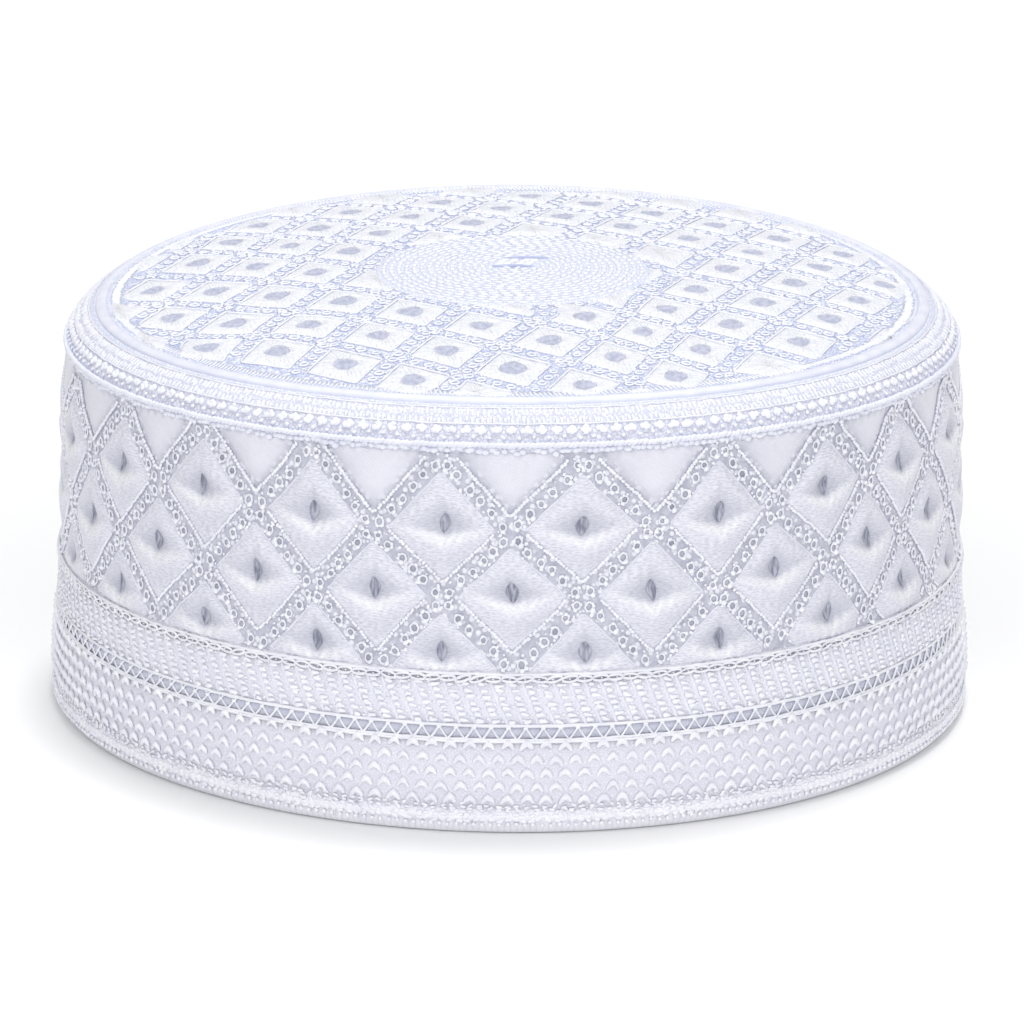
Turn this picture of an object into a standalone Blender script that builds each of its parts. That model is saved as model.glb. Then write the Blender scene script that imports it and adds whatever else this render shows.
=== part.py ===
"""White embroidered prayer cap, built from its linings, bands, cords and crown pieces.

Metres, +Z up. The origin is the middle of the plane that the hem stands on, and the cap's front is -Y.
Every piece is made true and round first. At the end settle() gives all of them the slight saddle and lean
that the crown of the real cap has, so the gaps between the pieces stay as they are.
"""
import math
from collections import namedtuple

import bmesh
import bpy
from mathutils import Matrix, Vector

MM = 0.001
Station = namedtuple("Station", "height radius")
Hole = namedtuple("Hole", "column height")

# Outer face of the wall, from the hem's foot up to the cord at the shoulder
WALL = (
    Station(0.0 * MM, 93.2 * MM),
    Station(2.4 * MM, 94.4 * MM),
    Station(11.2 * MM, 94.2 * MM),
    Station(18.8 * MM, 93.6 * MM),
    Station(31.8 * MM, 93.0 * MM),
    Station(47.2 * MM, 92.8 * MM),
    Station(61.1 * MM, 92.6 * MM),
    Station(68.0 * MM, 92.3 * MM),
    Station(75.6 * MM, 91.2 * MM),
)
CAP_RADIUS = 93.0 * MM
CAP_HEIGHT = 87.4 * MM

# How far the crown departs from a level round plate: front and back up, back up, right up
SADDLE = 1.43 * MM
LEAN_BACK = 1.66 * MM
LEAN_RIGHT = 0.7 * MM

# Layers of the wall, as depths below its outer face
GAP = 0.3 * MM
BAND_DEPTH = 2.2 * MM
CLOTH_DEPTH = 1.1 * MM
NET_DEPTH = 0.8 * MM
CHAIN_RISE = 0.2 * MM
LINING_DEPTH = BAND_DEPTH + GAP
LINING_THICKNESS = 1.0 * MM

# Heights where one band ends and the next begins
HEM_TOP = 4.9 * MM
SCALE_TOP = 18.8 * MM
NET_TOP = 21.6 * MM
RIB_TOP = 30.4 * MM
CHAIN_TOP = 31.8 * MM
DIAMOND_TOP = 75.6 * MM

# Rounding of the hem's foot
HEM_ROUND = 1.2 * MM
HEM_EASE = 0.6 * MM

# Diamond band: ladders cross at the corners of the diamonds, and each diamond is a tufted pad
COLUMNS = 22
PATTERN_TURN = math.radians(0.3)
MIDDLE_ROW = 47.2 * MM
HALF_DIAMOND = 13.9 * MM
PUFF_HEIGHT = 1.3 * MM
TUFT_DIP = 1.0 * MM
TOP_TUFTED_ROW = 1.4
EYE_WIDTH = 2.6 * MM
EYE_HEIGHT = 4.2 * MM
EYE_SIDES = 4
EYES = (
    Hole(column=0.5, height=36.2 * MM),
    Hole(column=0.0, height=47.6 * MM),
    Hole(column=0.5, height=61.1 * MM),
)

# Shoulder and cords
UPPER_CORD = Station(76.8 * MM, 90.6 * MM)
UPPER_CORD_RADIUS = 0.75 * MM
SHOULDER_LOW = Station(78.3 * MM, 90.7 * MM)
SHOULDER_HIGH = Station(83.15 * MM, 86.1 * MM)
SHOULDER_BULGE = 0.55 * MM
CROWN_CORD = Station(83.5 * MM, 84.0 * MM)
CROWN_CORD_RADIUS = 0.9 * MM

# Crown: a shallow dome with a round middle piece and a slanted lattice of pierced cells
CROWN_EDGE = Station(83.7 * MM, 82.8 * MM)
CROWN_PEAK = 88.8 * MM
CROWN_THICKNESS = 1.8 * MM
ROSETTE_RADIUS = 27.2 * MM
ROSETTE_RISE = 0.3 * MM
ROSETTE_ROUND = 0.4 * MM
CROWN_LINING_RADIUS = 83.0 * MM
CROWN_LINING_GAP = 0.42 * MM
LINING_BEND = 75.0 * MM
LINING_TOP = Station(82.1 * MM, 83.7 * MM)
LATTICE_START = Vector((-0.3 * MM, -65.4 * MM, 0.0))
LATTICE_ALONG = Matrix.Rotation(math.radians(68.75), 3, "Z") @ Vector((17.0 * MM, 0.0, 0.0))
LATTICE_ACROSS = Matrix.Rotation(math.radians(-33.0), 3, "Z") @ Vector((15.6 * MM, 0.0, 0.0))
CELL_EYE_SHARE = 0.25
CELL_NEAREST = 33.5 * MM
CELL_FARTHEST = 76.5 * MM
LATTICE_REACH = 9

# Facets round the cap
TURN_STEPS = 2 * COLUMNS
BAND_STEPS = 4 * COLUMNS
HALF_CELLS_UP = 6
EDGE_ROW = 0.01
CORD_SIDES = 5


def wall_radius(height):
    """Radius of the wall's outer face at a height, straight between the stations."""
    for low, high in zip(WALL, WALL[1:]):
        if height <= high.height:
            share = (height - low.height) / (high.height - low.height)
            return low.radius + share * (high.radius - low.radius)
    return WALL[-1].radius


def around(angle, radius, height):
    """Point at an angle from the cap's front, positive towards +X."""
    return Vector((radius * math.sin(angle), -radius * math.cos(angle), height))


def dome_height(radius):
    """Height of the crown's upper face."""
    share = radius / CROWN_EDGE.radius
    return CROWN_PEAK - (CROWN_PEAK - CROWN_EDGE.height) * share ** 2


def settle(point):
    """Moves a point of the true round cap to where the real cap has it."""
    across = point.x / CAP_RADIUS
    along = point.y / CAP_RADIUS
    rise = SADDLE * (along ** 2 - across ** 2) + LEAN_BACK * along + LEAN_RIGHT * across
    lifted = (point.z / CAP_HEIGHT) ** 2
    return Vector((point.x, point.y, point.z + lifted * rise))


def offset_path(path, depth):
    """Path of (radius, height) points moved to the inner side of a path that runs upwards."""
    moved = []
    for index, point in enumerate(path):
        before = path[max(index - 1, 0)]
        after = path[min(index + 1, len(path) - 1)]
        run = Vector(after) - Vector(before)
        inward = Vector((-run.y, run.x)).normalized()
        moved.append(tuple(Vector(point) + depth * inward))
    return moved


def arc_path(low, high, bulge, pieces):
    """Points of a flat arc between two stations, bulging to the outer side."""
    start = Vector((low.radius, low.height))
    end = Vector((high.radius, high.height))
    run = end - start
    outward = Vector((run.y, -run.x)).normalized()
    path = []
    for index in range(pieces + 1):
        share = index / pieces
        sag = 4 * bulge * share * (1 - share)
        path.append(tuple(start + share * run + sag * outward))
    return path


def wall_path(low, high, depth):
    """Path up the wall at a depth below its outer face, with a point at each station between."""
    heights = [low] + [row.height for row in WALL if low < row.height < high] + [high]
    return [(wall_radius(height) - depth, height) for height in heights]


def cloth(name, colour, roughness):
    material = bpy.data.materials.new(name)
    material.use_nodes = True
    shader = material.node_tree.nodes["Principled BSDF"]
    shader.inputs["Base Color"].default_value = (*colour, 1.0)
    shader.inputs["Roughness"].default_value = roughness
    shader.inputs["Metallic"].default_value = 0.0
    return material


def new_collection(name):
    collection = bpy.data.collections.new(name)
    bpy.context.scene.collection.children.link(collection)
    return collection


def new_object(name, mesh, collection, material=None):
    thing = bpy.data.objects.new(name, mesh)
    collection.objects.link(thing)
    if material:
        mesh.materials.append(material)
    return thing


def object_from_bmesh(name, shape, collection, material=None):
    mesh = bpy.data.meshes.new(name)
    shape.to_mesh(mesh)
    shape.free()
    return new_object(name, mesh, collection, material)


def add_screw(thing, steps):
    screw = thing.modifiers.new("turned", "SCREW")
    screw.axis = "Z"
    screw.angle = 2 * math.pi
    screw.steps = steps
    screw.render_steps = steps
    screw.use_merge_vertices = True
    screw.merge_threshold = 0.00001


def turned_ring(name, outer, inner, collection, material):
    """Ring whose section has an outer and an inner path, both running upwards."""
    section = list(reversed(outer)) + list(inner)
    points = [(radius, 0.0, height) for radius, height in section]
    edges = [(index, (index + 1) % len(points)) for index in range(len(points))]
    mesh = bpy.data.meshes.new(name)
    mesh.from_pydata(points, edges, [])
    ring = new_object(name, mesh, collection, material)
    add_screw(ring, TURN_STEPS)
    return ring


def turned_disc(name, top, bottom, collection, material):
    """Disc between a top and a bottom path, both running outwards from the axis."""
    points = [(radius, 0.0, height) for radius, height in list(top) + list(reversed(bottom))]
    edges = [(index, index + 1) for index in range(len(points) - 1)]
    mesh = bpy.data.meshes.new(name)
    mesh.from_pydata(points, edges, [])
    disc = new_object(name, mesh, collection, material)
    add_screw(disc, TURN_STEPS)
    return disc


def cord_ring(name, centre, radius, collection, material):
    """Round cord lying in a ring."""
    bpy.ops.mesh.primitive_torus_add(
        major_segments=TURN_STEPS,
        minor_segments=CORD_SIDES,
        major_radius=centre.radius,
        minor_radius=radius,
        location=(0.0, 0.0, centre.height),
    )
    ring = bpy.context.object
    ring.name = name
    ring.data.name = name
    ring.data.transform(ring.matrix_world)
    ring.matrix_world = Matrix.Identity(4)
    ring.data.materials.append(material)
    for home in list(ring.users_collection):
        home.objects.unlink(ring)
    collection.objects.link(ring)
    return ring


def cut(thing, cutter):
    boolean = thing.modifiers.new("pierced", "BOOLEAN")
    boolean.operation = "DIFFERENCE"
    boolean.solver = "EXACT"
    boolean.object = cutter


def hide_cutter(cutter):
    cutter.hide_render = True
    cutter.display_type = "WIRE"
    return cutter


def finish(thing, smooth_angle=math.radians(40)):
    """Applies what is live on a piece and settles its points."""
    graph = bpy.context.evaluated_depsgraph_get()
    mesh = bpy.data.meshes.new_from_object(thing.evaluated_get(graph))
    thing.modifiers.clear()
    thing.data = mesh
    for vertex in mesh.vertices:
        vertex.co = settle(vertex.co)
    mesh.shade_smooth()
    mesh.set_sharp_from_angle(angle=smooth_angle)
    return thing


def pad_height(column, row):
    """Height of the padding over the recessed ladders, 0 on a ladder and highest round a tuft.

    Columns count diamonds round the cap from its front, rows count them upwards from the middle row.
    """
    rising = 2 * column + row
    falling = 2 * column - row
    rising -= 2 * round(rising / 2)
    falling -= 2 * round(falling / 2)
    puff = PUFF_HEIGHT * (1 - rising ** 2) * (1 - falling ** 2)
    if row > TOP_TUFTED_ROW:
        return puff
    centre_share = max(0.0, 1 - 2 * max(abs(rising), abs(falling)))
    return puff - TUFT_DIP * centre_share


def make_diamond_band(collection, material):
    """Padded band: a grid on the diamonds' half cells, poked so that edges run along the ladders."""
    shape = bmesh.new()
    bmesh.ops.create_grid(shape, x_segments=BAND_STEPS, y_segments=HALF_CELLS_UP, size=0.5)
    bmesh.ops.poke(shape, faces=shape.faces[:])
    for vertex in shape.verts:
        column = (vertex.co.x + 0.5) * COLUMNS
        row = (vertex.co.y + 0.5) * HALF_CELLS_UP / 2 - 1
        angle = PATTERN_TURN + column * 2 * math.pi / COLUMNS
        height = MIDDLE_ROW + row * HALF_DIAMOND
        if vertex.co.y < EDGE_ROW - 0.5:
            height = CHAIN_TOP + GAP
        if vertex.co.y > 0.5 - EDGE_ROW:
            height = DIAMOND_TOP
        radius = wall_radius(height) - CLOTH_DEPTH + pad_height(column, row)
        vertex.co = around(angle, radius, height)
    bmesh.ops.remove_doubles(shape, verts=shape.verts[:], dist=0.01 * MM)
    close_band(shape)
    return object_from_bmesh("diamond_band", shape, collection, material)


def close_band(shape):
    """Gives the open band a smooth back and closes it."""
    middle = (CHAIN_TOP + DIAMOND_TOP) / 2
    backs = []
    for is_top in (False, True):
        rim = [edge for edge in shape.edges
               if edge.is_boundary and (edge.verts[0].co.z > middle) == is_top]
        pulled = bmesh.ops.extrude_edge_only(shape, edges=rim)["geom"]
        for vertex in (item for item in pulled if isinstance(item, bmesh.types.BMVert)):
            inner = wall_radius(vertex.co.z) - BAND_DEPTH
            vertex.co.xy = vertex.co.xy.normalized() * inner
        backs += [item for item in pulled if isinstance(item, bmesh.types.BMEdge)]
    bmesh.ops.bridge_loops(shape, edges=backs)
    bmesh.ops.recalc_face_normals(shape, faces=shape.faces[:])


def make_eye_cutter(collection):
    """Upright pointed pegs through the middle of each padded diamond."""
    shape = bmesh.new()
    stretch = Matrix.Diagonal((EYE_WIDTH / 2, EYE_HEIGHT / 2, 1.0, 1.0))
    for eye in EYES:
        for column in range(COLUMNS):
            angle = PATTERN_TURN + (column + eye.column) * 2 * math.pi / COLUMNS
            place = Matrix.Translation(around(angle, wall_radius(eye.height) - CLOTH_DEPTH, eye.height))
            facing = Matrix.Rotation(angle, 4, "Z") @ Matrix.Rotation(math.radians(90), 4, "X")
            bmesh.ops.create_cone(
                shape,
                cap_ends=True,
                segments=EYE_SIDES,
                radius1=1.0,
                radius2=1.0,
                depth=4 * BAND_DEPTH,
                matrix=place @ facing @ stretch,
            )
    return hide_cutter(object_from_bmesh("eye_cutter", shape, collection))


def lattice_centres():
    """Middles of the crown's pierced cells, row by row."""
    centres = []
    for along in range(-LATTICE_REACH, LATTICE_REACH + 1):
        for across in range(-LATTICE_REACH, LATTICE_REACH + 1):
            centre = LATTICE_START + along * LATTICE_ALONG + across * LATTICE_ACROSS
            if CELL_NEAREST < centre.length < CELL_FARTHEST:
                centres.append(centre)
    return centres


def make_cell_cutter(collection):
    """Slanted pegs through the crown, one for each pierced cell."""
    shape = bmesh.new()
    along = LATTICE_ALONG * CELL_EYE_SHARE
    across = LATTICE_ACROSS * CELL_EYE_SHARE
    for centre in lattice_centres():
        peg = Matrix((
            (across.x, along.x, 0.0, centre.x),
            (across.y, along.y, 0.0, centre.y),
            (0.0, 0.0, 4 * CROWN_THICKNESS, dome_height(centre.length) - CROWN_THICKNESS / 2),
            (0.0, 0.0, 0.0, 1.0),
        ))
        bmesh.ops.create_cube(shape, size=1.0, matrix=peg)
    return hide_cutter(object_from_bmesh("cell_cutter", shape, collection))


def dome_path(start, end, drop, pieces):
    """Path outwards along the dome, a drop below its upper face."""
    path = []
    for index in range(pieces + 1):
        radius = start + (end - start) * index / pieces
        path.append((radius, dome_height(radius) - drop))
    return path


def make_hem(collection, material):
    """Rolled edging with a flat foot; its foot is the face that the cap stands on."""
    roll = WALL[1]
    outer = [
        (roll.radius - HEM_ROUND - HEM_EASE, 0.0),
        (roll.radius - HEM_EASE, HEM_EASE),
        (roll.radius, roll.height),
        (roll.radius - HEM_EASE / 2, HEM_TOP),
    ]
    inside = roll.radius - LINING_DEPTH - LINING_THICKNESS
    inner = [(inside + HEM_EASE, 0.0), (inside, HEM_EASE), (inside, HEM_TOP)]
    return turned_ring("hem", outer, inner, collection, material)


def make_side_lining(collection, material):
    """Lining wall that stands on the hem and bends in under the shoulder."""
    heights = (HEM_TOP + GAP, SCALE_TOP, LINING_BEND)
    outer = [(wall_radius(height) - LINING_DEPTH, height) for height in heights]
    outer += offset_path(arc_path(SHOULDER_LOW, SHOULDER_HIGH, SHOULDER_BULGE, 2), LINING_DEPTH)
    inner = offset_path(outer, LINING_THICKNESS)
    inner[0] = (outer[0][0] - LINING_THICKNESS, outer[0][1])
    del inner[1]
    outer += [(LINING_TOP.radius, LINING_TOP.height)]
    inner[-1] = (LINING_TOP.radius - GAP, LINING_TOP.height - LINING_THICKNESS)
    return turned_ring("side_lining", outer, inner, collection, material)


def make_band(name, low, high, face_depth, collection, material):
    """Plain turned band between two heights, its back on the same depth as its neighbours'."""
    outer = wall_path(low + GAP, high, face_depth)
    inner = [(wall_radius(height) - BAND_DEPTH, height) for height in (low + GAP, high)]
    return turned_ring(name, outer, inner, collection, material)


def make_shoulder(collection, material):
    outer = arc_path(SHOULDER_LOW, SHOULDER_HIGH, SHOULDER_BULGE, 2)
    inner = offset_path(outer, BAND_DEPTH)
    return turned_ring("shoulder_braid", outer, inner, collection, material)


def make_crown(collection, material):
    start = ROSETTE_RADIUS + GAP
    top = dome_path(start, CROWN_EDGE.radius, 0.0, 2)
    bottom = dome_path(start, CROWN_EDGE.radius, CROWN_THICKNESS, 2)
    return turned_ring("crown_panel", list(reversed(top)), list(reversed(bottom)), collection, material)


def make_rosette(collection, material):
    top = dome_path(0.0, ROSETTE_RADIUS - ROSETTE_ROUND, -ROSETTE_RISE, 1)
    bottom = dome_path(0.0, ROSETTE_RADIUS, CROWN_THICKNESS, 1)
    rim = [(ROSETTE_RADIUS, dome_height(ROSETTE_RADIUS))]
    return turned_disc("crown_rosette", top + rim, bottom, collection, material)


def make_crown_lining(collection, material):
    drop = CROWN_THICKNESS + CROWN_LINING_GAP
    top = dome_path(0.0, CROWN_LINING_RADIUS, drop, 2)
    bottom = dome_path(0.0, CROWN_LINING_RADIUS, drop + LINING_THICKNESS, 2)
    return turned_disc("crown_lining", top, bottom, collection, material)


def build():
    for thing in list(bpy.data.objects):
        bpy.data.objects.remove(thing, do_unlink=True)
    cap = new_collection("prayer_cap")
    cutters = new_collection("cutters")
    satin = cloth("padded_satin", (0.83, 0.84, 0.88), 0.42)
    thread = cloth("white_thread", (0.90, 0.91, 0.94), 0.5)
    braid = cloth("white_braid", (0.86, 0.87, 0.91), 0.55)
    netting = cloth("net_thread", (0.80, 0.82, 0.87), 0.6)
    cotton = cloth("cotton_lining", (0.74, 0.75, 0.80), 0.75)

    pieces = [
        make_hem(cap, braid),
        make_side_lining(cap, cotton),
        make_band("scale_band", HEM_TOP, SCALE_TOP, 0.0, cap, braid),
        make_band("net_insert", SCALE_TOP, NET_TOP, NET_DEPTH, cap, netting),
        make_band("rib_braid", NET_TOP, RIB_TOP, 0.0, cap, braid),
        make_band("chain_trim", RIB_TOP, CHAIN_TOP, -CHAIN_RISE, cap, thread),
        cord_ring("upper_cord", UPPER_CORD, UPPER_CORD_RADIUS, cap, thread),
        make_shoulder(cap, thread),
        cord_ring("crown_cord", CROWN_CORD, CROWN_CORD_RADIUS, cap, thread),
        make_rosette(cap, thread),
        make_crown_lining(cap, cotton),
    ]
    band = make_diamond_band(cap, satin)
    cut(band, make_eye_cutter(cutters))
    crown = make_crown(cap, satin)
    cut(crown, make_cell_cutter(cutters))
    for piece in pieces + [band, crown]:
        finish(piece)


build()
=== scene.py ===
import math

import bmesh
import bpy
import numpy as np
from mathutils import Matrix


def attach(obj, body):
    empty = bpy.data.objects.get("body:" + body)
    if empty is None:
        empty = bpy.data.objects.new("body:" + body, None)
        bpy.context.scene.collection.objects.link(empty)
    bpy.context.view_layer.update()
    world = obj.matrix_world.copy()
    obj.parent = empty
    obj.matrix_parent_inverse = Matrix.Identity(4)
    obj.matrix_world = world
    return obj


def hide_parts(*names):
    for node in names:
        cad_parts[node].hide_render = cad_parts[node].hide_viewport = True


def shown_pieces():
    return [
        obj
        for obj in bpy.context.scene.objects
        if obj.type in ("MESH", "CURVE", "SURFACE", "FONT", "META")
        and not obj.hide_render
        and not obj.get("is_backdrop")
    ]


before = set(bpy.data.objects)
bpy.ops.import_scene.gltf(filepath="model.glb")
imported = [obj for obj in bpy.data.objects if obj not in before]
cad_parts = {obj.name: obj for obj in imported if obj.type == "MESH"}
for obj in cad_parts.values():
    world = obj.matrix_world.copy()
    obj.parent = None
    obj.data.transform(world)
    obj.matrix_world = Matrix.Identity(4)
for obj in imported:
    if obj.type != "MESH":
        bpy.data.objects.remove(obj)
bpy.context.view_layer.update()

mm = 0.001
fullTurn = 2 * math.pi
dice = np.random.default_rng(46)  # all the unevenness of the hand work comes from here

cap = {  # form of the whole cap in mm, the same as the frame's
    "heights": (0.0, 2.4, 11.2, 18.8, 31.8, 47.2, 61.1, 68.0, 75.6, 78.3, 81.1, 83.15),
    "radii": (93.2, 94.4, 94.2, 93.6, 93.0, 92.8, 92.6, 92.3, 91.2, 90.7, 88.8, 86.1),
    "radius": 93.0,
    "height": 87.4,
    "saddle": 1.43,
    "leanBack": 1.66,
    "leanRight": 0.7,
    "crownPeak": 88.8,
    "crownEdgeHeight": 83.7,
    "crownEdgeRadius": 82.8,
    "wallSteps": 176,  # of a turned strip round the wall
    "rimSteps": 220,
}

view = {  # the photo's camera
    "place": (0.00029, -1.0699, 0.3512),
    "lookDown": 16.376,  # degrees
    "roll": 0.535,
    "lens": 189.9,
    "sensor": 36.0,
    "pixels": 1024,
}
viewTurn = (Matrix.Rotation(math.radians(90 - view["lookDown"]), 4, "X")
            @ Matrix.Rotation(math.radians(view["roll"]), 4, "Z"))

# where things lie on the cap

fineHeights = np.arange(-3.0, 86.0, 0.1)
fineRadii = np.interp(fineHeights, cap["heights"], cap["radii"])
fineRadii = np.convolve(np.pad(fineRadii, 6, mode="edge"), np.ones(13) / 13, "valid")
fineSlopes = np.gradient(fineRadii, 0.1)
girth = fullTurn * cap["radius"]


def settle(points):  # mm on the true round cap to metres on the real one
    across = points[:, 0] / cap["radius"]
    along = points[:, 1] / cap["radius"]
    rise = cap["saddle"] * (along ** 2 - across ** 2) + cap["leanBack"] * along + cap["leanRight"] * across
    settled = points.copy()
    settled[:, 2] += (points[:, 2] / cap["height"]) ** 2 * rise
    return settled * mm


def onWall(flat):  # arc round the cap, height and lift off the wall, in mm
    arc, height, lift = np.asarray(flat, float).T[:3]
    slope = np.interp(height, fineHeights, fineSlopes)
    steep = np.hypot(1.0, slope)
    radius = np.interp(height, fineHeights, fineRadii) + lift / steep
    angle = arc / cap["radius"]
    rise = height - lift * slope / steep
    return settle(np.stack([radius * np.sin(angle), -radius * np.cos(angle), rise], 1))


def domeHeight(radius):
    share = radius / cap["crownEdgeRadius"]
    return cap["crownPeak"] - (cap["crownPeak"] - cap["crownEdgeHeight"]) * share ** 2


def onCrown(flat):  # x, y and lift off the crown, in mm
    x, y, lift = np.asarray(flat, float).T[:3]
    return settle(np.stack([x, y, domeHeight(np.hypot(x, y)) + lift], 1))


def softStep(value):
    value = np.clip(value, 0.0, 1.0)
    return value * value * (3 - 2 * value)


def toPicture(points):  # metres to the photo's pixels, across and down
    seen = (points - view["place"]) @ np.array(viewTurn.to_3x3())
    zoom = view["lens"] / view["sensor"] * view["pixels"] / -seen[:, 2]
    return view["pixels"] / 2 + np.stack([seen[:, 0] * zoom, -seen[:, 1] * zoom], 1)


def seenAt(place, flat, pixels):  # the flat places that the photo shows at the pixels, near the given ones
    flat = np.array(flat, float)
    step = 0.01
    for _ in range(10):
        here = toPicture(place(flat))
        slopes = [(toPicture(place(flat + move)) - here) / step for move in ((step, 0, 0), (0, step, 0))]
        flat[:, :2] += np.linalg.solve(np.stack(slopes, 2), (pixels - here)[:, :, None])[:, :, 0]
    return flat[:, :2]


# making and joining shapes

def takeShape(shape):  # a bmesh as points and faces
    shape.verts.index_update()
    points = np.array([vertex.co[:] for vertex in shape.verts])
    faces = [[vertex.index for vertex in face.verts] for face in shape.faces]
    shape.free()
    return points, faces


def copiesOf(template, spots):  # spots are rows of x, y, lift, turn, length, width and rise
    points, faces = template
    x, y, lift, turned, length, width, rise = np.asarray(spots, float).T[:, :, None]
    alongX, alongY = points[:, 0] * length, points[:, 1] * width
    placed = np.stack([
        x + alongX * np.cos(turned) - alongY * np.sin(turned),
        y + alongX * np.sin(turned) + alongY * np.cos(turned),
        lift + points[:, 2] * rise,
        np.broadcast_to(points[:, 2] / points[:, 2].max(), alongX.shape),  # how high on the stitch
    ], -1).reshape(-1, 4)
    step = len(points)
    return placed, [[corner + copy * step for corner in face] for copy in range(len(x)) for face in faces]


def joined(*shapes):
    points, faces, start = [], [], 0
    for somePoints, someFaces in shapes:
        points.append(somePoints)
        faces += [[corner + start for corner in face] for face in someFaces]
        start += len(somePoints)
    return np.concatenate(points), faces


def newMesh(name, points, faces, flat=None):  # flat is each point's place on the cloth, kept as a UV map
    mesh = bpy.data.meshes.new(name)
    mesh.from_pydata(points.tolist(), [], faces)
    mesh.shade_smooth()
    if flat is not None:
        corners = np.zeros(len(mesh.loops), int)
        mesh.loops.foreach_get("vertex_index", corners)
        places = np.asarray(flat)[corners, :2]
        starts = np.r_[0, np.cumsum([len(face) for face in faces])]
        furthest = np.repeat(np.maximum.reduceat(places[:, 0], starts[:-1]), np.diff(starts))
        places[:, 0] += girth * (furthest - places[:, 0] > girth / 2)  # where the arc starts again
        layer = mesh.uv_layers.new(name="cloth")
        layer.data.foreach_set("uv", (places * mm).ravel())
    return mesh


def setShare(mesh, name, values):  # a number per point that a look reads
    values = np.broadcast_to(values, len(mesh.vertices)).astype(float)
    mesh.attributes.new(name, "FLOAT", "POINT").data.foreach_set("value", values)


def finishPiece(name, mesh, look, slotName, *nodes):
    thing = bpy.data.objects.new(name, mesh)
    bpy.context.scene.collection.objects.link(thing)
    mesh.materials.append(look)
    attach(thing, "root")
    if nodes:
        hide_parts(*nodes)
    return thing


def stitchedPiece(name, place, look, slotName, *shapes):  # place is onWall or onCrown
    points, faces = joined(*shapes)
    mesh = newMesh(name, place(points), faces, points)
    setShare(mesh, "rise", points[:, 3])
    return finishPiece(name, mesh, look, slotName)


def threadMesh(name, paths, roundness=0):  # paths are points in metres, radii in mm, and whether it closes
    curve = bpy.data.curves.new(name, "CURVE")
    curve.dimensions = "3D"
    curve.bevel_depth = mm
    curve.bevel_resolution = roundness
    curve.use_fill_caps = True
    for points, radii, closed in paths:
        spline = curve.splines.new("POLY")
        spline.points.add(len(points) - 1)
        spline.points.foreach_set("co", np.c_[points, np.ones(len(points))].ravel())
        spline.points.foreach_set("radius", np.broadcast_to(radii, len(points)).astype(float))
        spline.use_cyclic_u = closed
        spline.use_smooth = True
    holder = bpy.data.objects.new(name, curve)
    bpy.context.scene.collection.objects.link(holder)
    graph = bpy.context.evaluated_depsgraph_get()
    mesh = bpy.data.meshes.new_from_object(holder.evaluated_get(graph))
    bpy.data.objects.remove(holder)
    bpy.data.curves.remove(curve)
    mesh.materials.clear()
    mesh.shade_smooth()
    setShare(mesh, "rise", 1.0)
    return mesh


def turnedMesh(name, profile, steps, shaped=None):  # profile is a closed loop of (radius, height) in mm
    shape = bmesh.new()
    corners = [shape.verts.new((radius, 0.0, height)) for radius, height in profile]
    loop = [shape.edges.new((a, b)) for a, b in zip(corners, corners[1:] + corners[:1])]
    bmesh.ops.spin(shape, geom=corners + loop, axis=(0, 0, 1), cent=(0, 0, 0), angle=fullTurn,
                   steps=steps, use_merge=True)
    bmesh.ops.recalc_face_normals(shape, faces=shape.faces[:])
    points, faces = takeShape(shape)
    share = np.ones(len(points))
    if shaped:
        points, share = shaped(points)
    reach = np.hypot(points[:, 0], points[:, 1])
    flat = points[:, :2]  # a disc's cloth lies as in its plan
    if reach.min() > 1.0:
        flat = np.stack([np.arctan2(points[:, 0], -points[:, 1]) * cap["radius"], points[:, 2] + reach], 1)
    mesh = newMesh(name, settle(points), faces, flat)
    setShare(mesh, "rise", share)
    return mesh


def threadPiece(name, paths, look, slotName, roundness=0):
    return finishPiece(name, threadMesh(name, paths, roundness), look, slotName)


def turnedPiece(name, profile, steps, look, slotName, *nodes, shaped=None):
    return finishPiece(name, turnedMesh(name, profile, steps, shaped), look, slotName, *nodes)


def threadRound(count, height, lift, radius, waver, thinnest, thickest):  # one thread all round the wall
    arcs = np.linspace(0, girth, count + 1)[:-1]
    flat = np.stack([arcs, height + dice.normal(0, waver, count), np.full(count, lift)], 1)
    return onWall(flat), radius * dice.uniform(thinnest, thickest, count), True


def evenSpots(count, height, lift, size, unevenness=0.06, turned=0.0):  # stitches in a row round the wall
    arcs = np.arange(count) * girth / count + dice.normal(0, unevenness, count)
    sizes = [extent * dice.uniform(0.84, 1.12, count) for extent in size]
    turns = turned + dice.normal(0, 0.06, count)
    heights = height + dice.normal(0, unevenness, count)
    return np.stack([arcs, heights, np.full(count, lift), turns] + sizes, 1)


def looseKnots(place, heading, values, lift):  # small knots beside one eyelet of a ladder
    normal = np.array([-heading[1], heading[0]])
    spots = []
    for side in (-1, 1):
        for nearness in values["knotsAlong"]:
            if dice.random() < values["knotChance"]:
                spot = place + normal * side * dice.uniform(*values["knotsAside"])
                spot = spot + heading * (nearness + dice.uniform(-0.4, 0.4))
                knot = values["knotRadius"] * dice.uniform(values["smallestKnot"], 1.25)
                spots.append((*spot, lift, dice.uniform(0, 3), knot * dice.uniform(1.0, 1.7), knot, knot))
    return spots


def ringNet(perSide, shares):  # faces in square rings round a middle hole, and each point's place in them
    rings = len(shares)
    shape = bmesh.new()
    bmesh.ops.create_grid(shape, x_segments=4 * perSide, y_segments=rings, size=0.5)
    points, faces = takeShape(shape)
    place = np.rint((points[:, 0] + 0.5) * 4 * perSide)
    ring = np.rint((points[:, 1] + 0.5) * rings).astype(int)
    side, step = (place // perSide).astype(int) % 4, (place % perSide) / perSide * 2 - 1
    one = np.ones_like(step)
    rising = np.choose(side, (one, -step, -one, step))
    falling = np.choose(side, (step, one, -step, -one))
    return faces, place, np.array((0.0,) + shares)[ring], rising, falling


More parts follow.
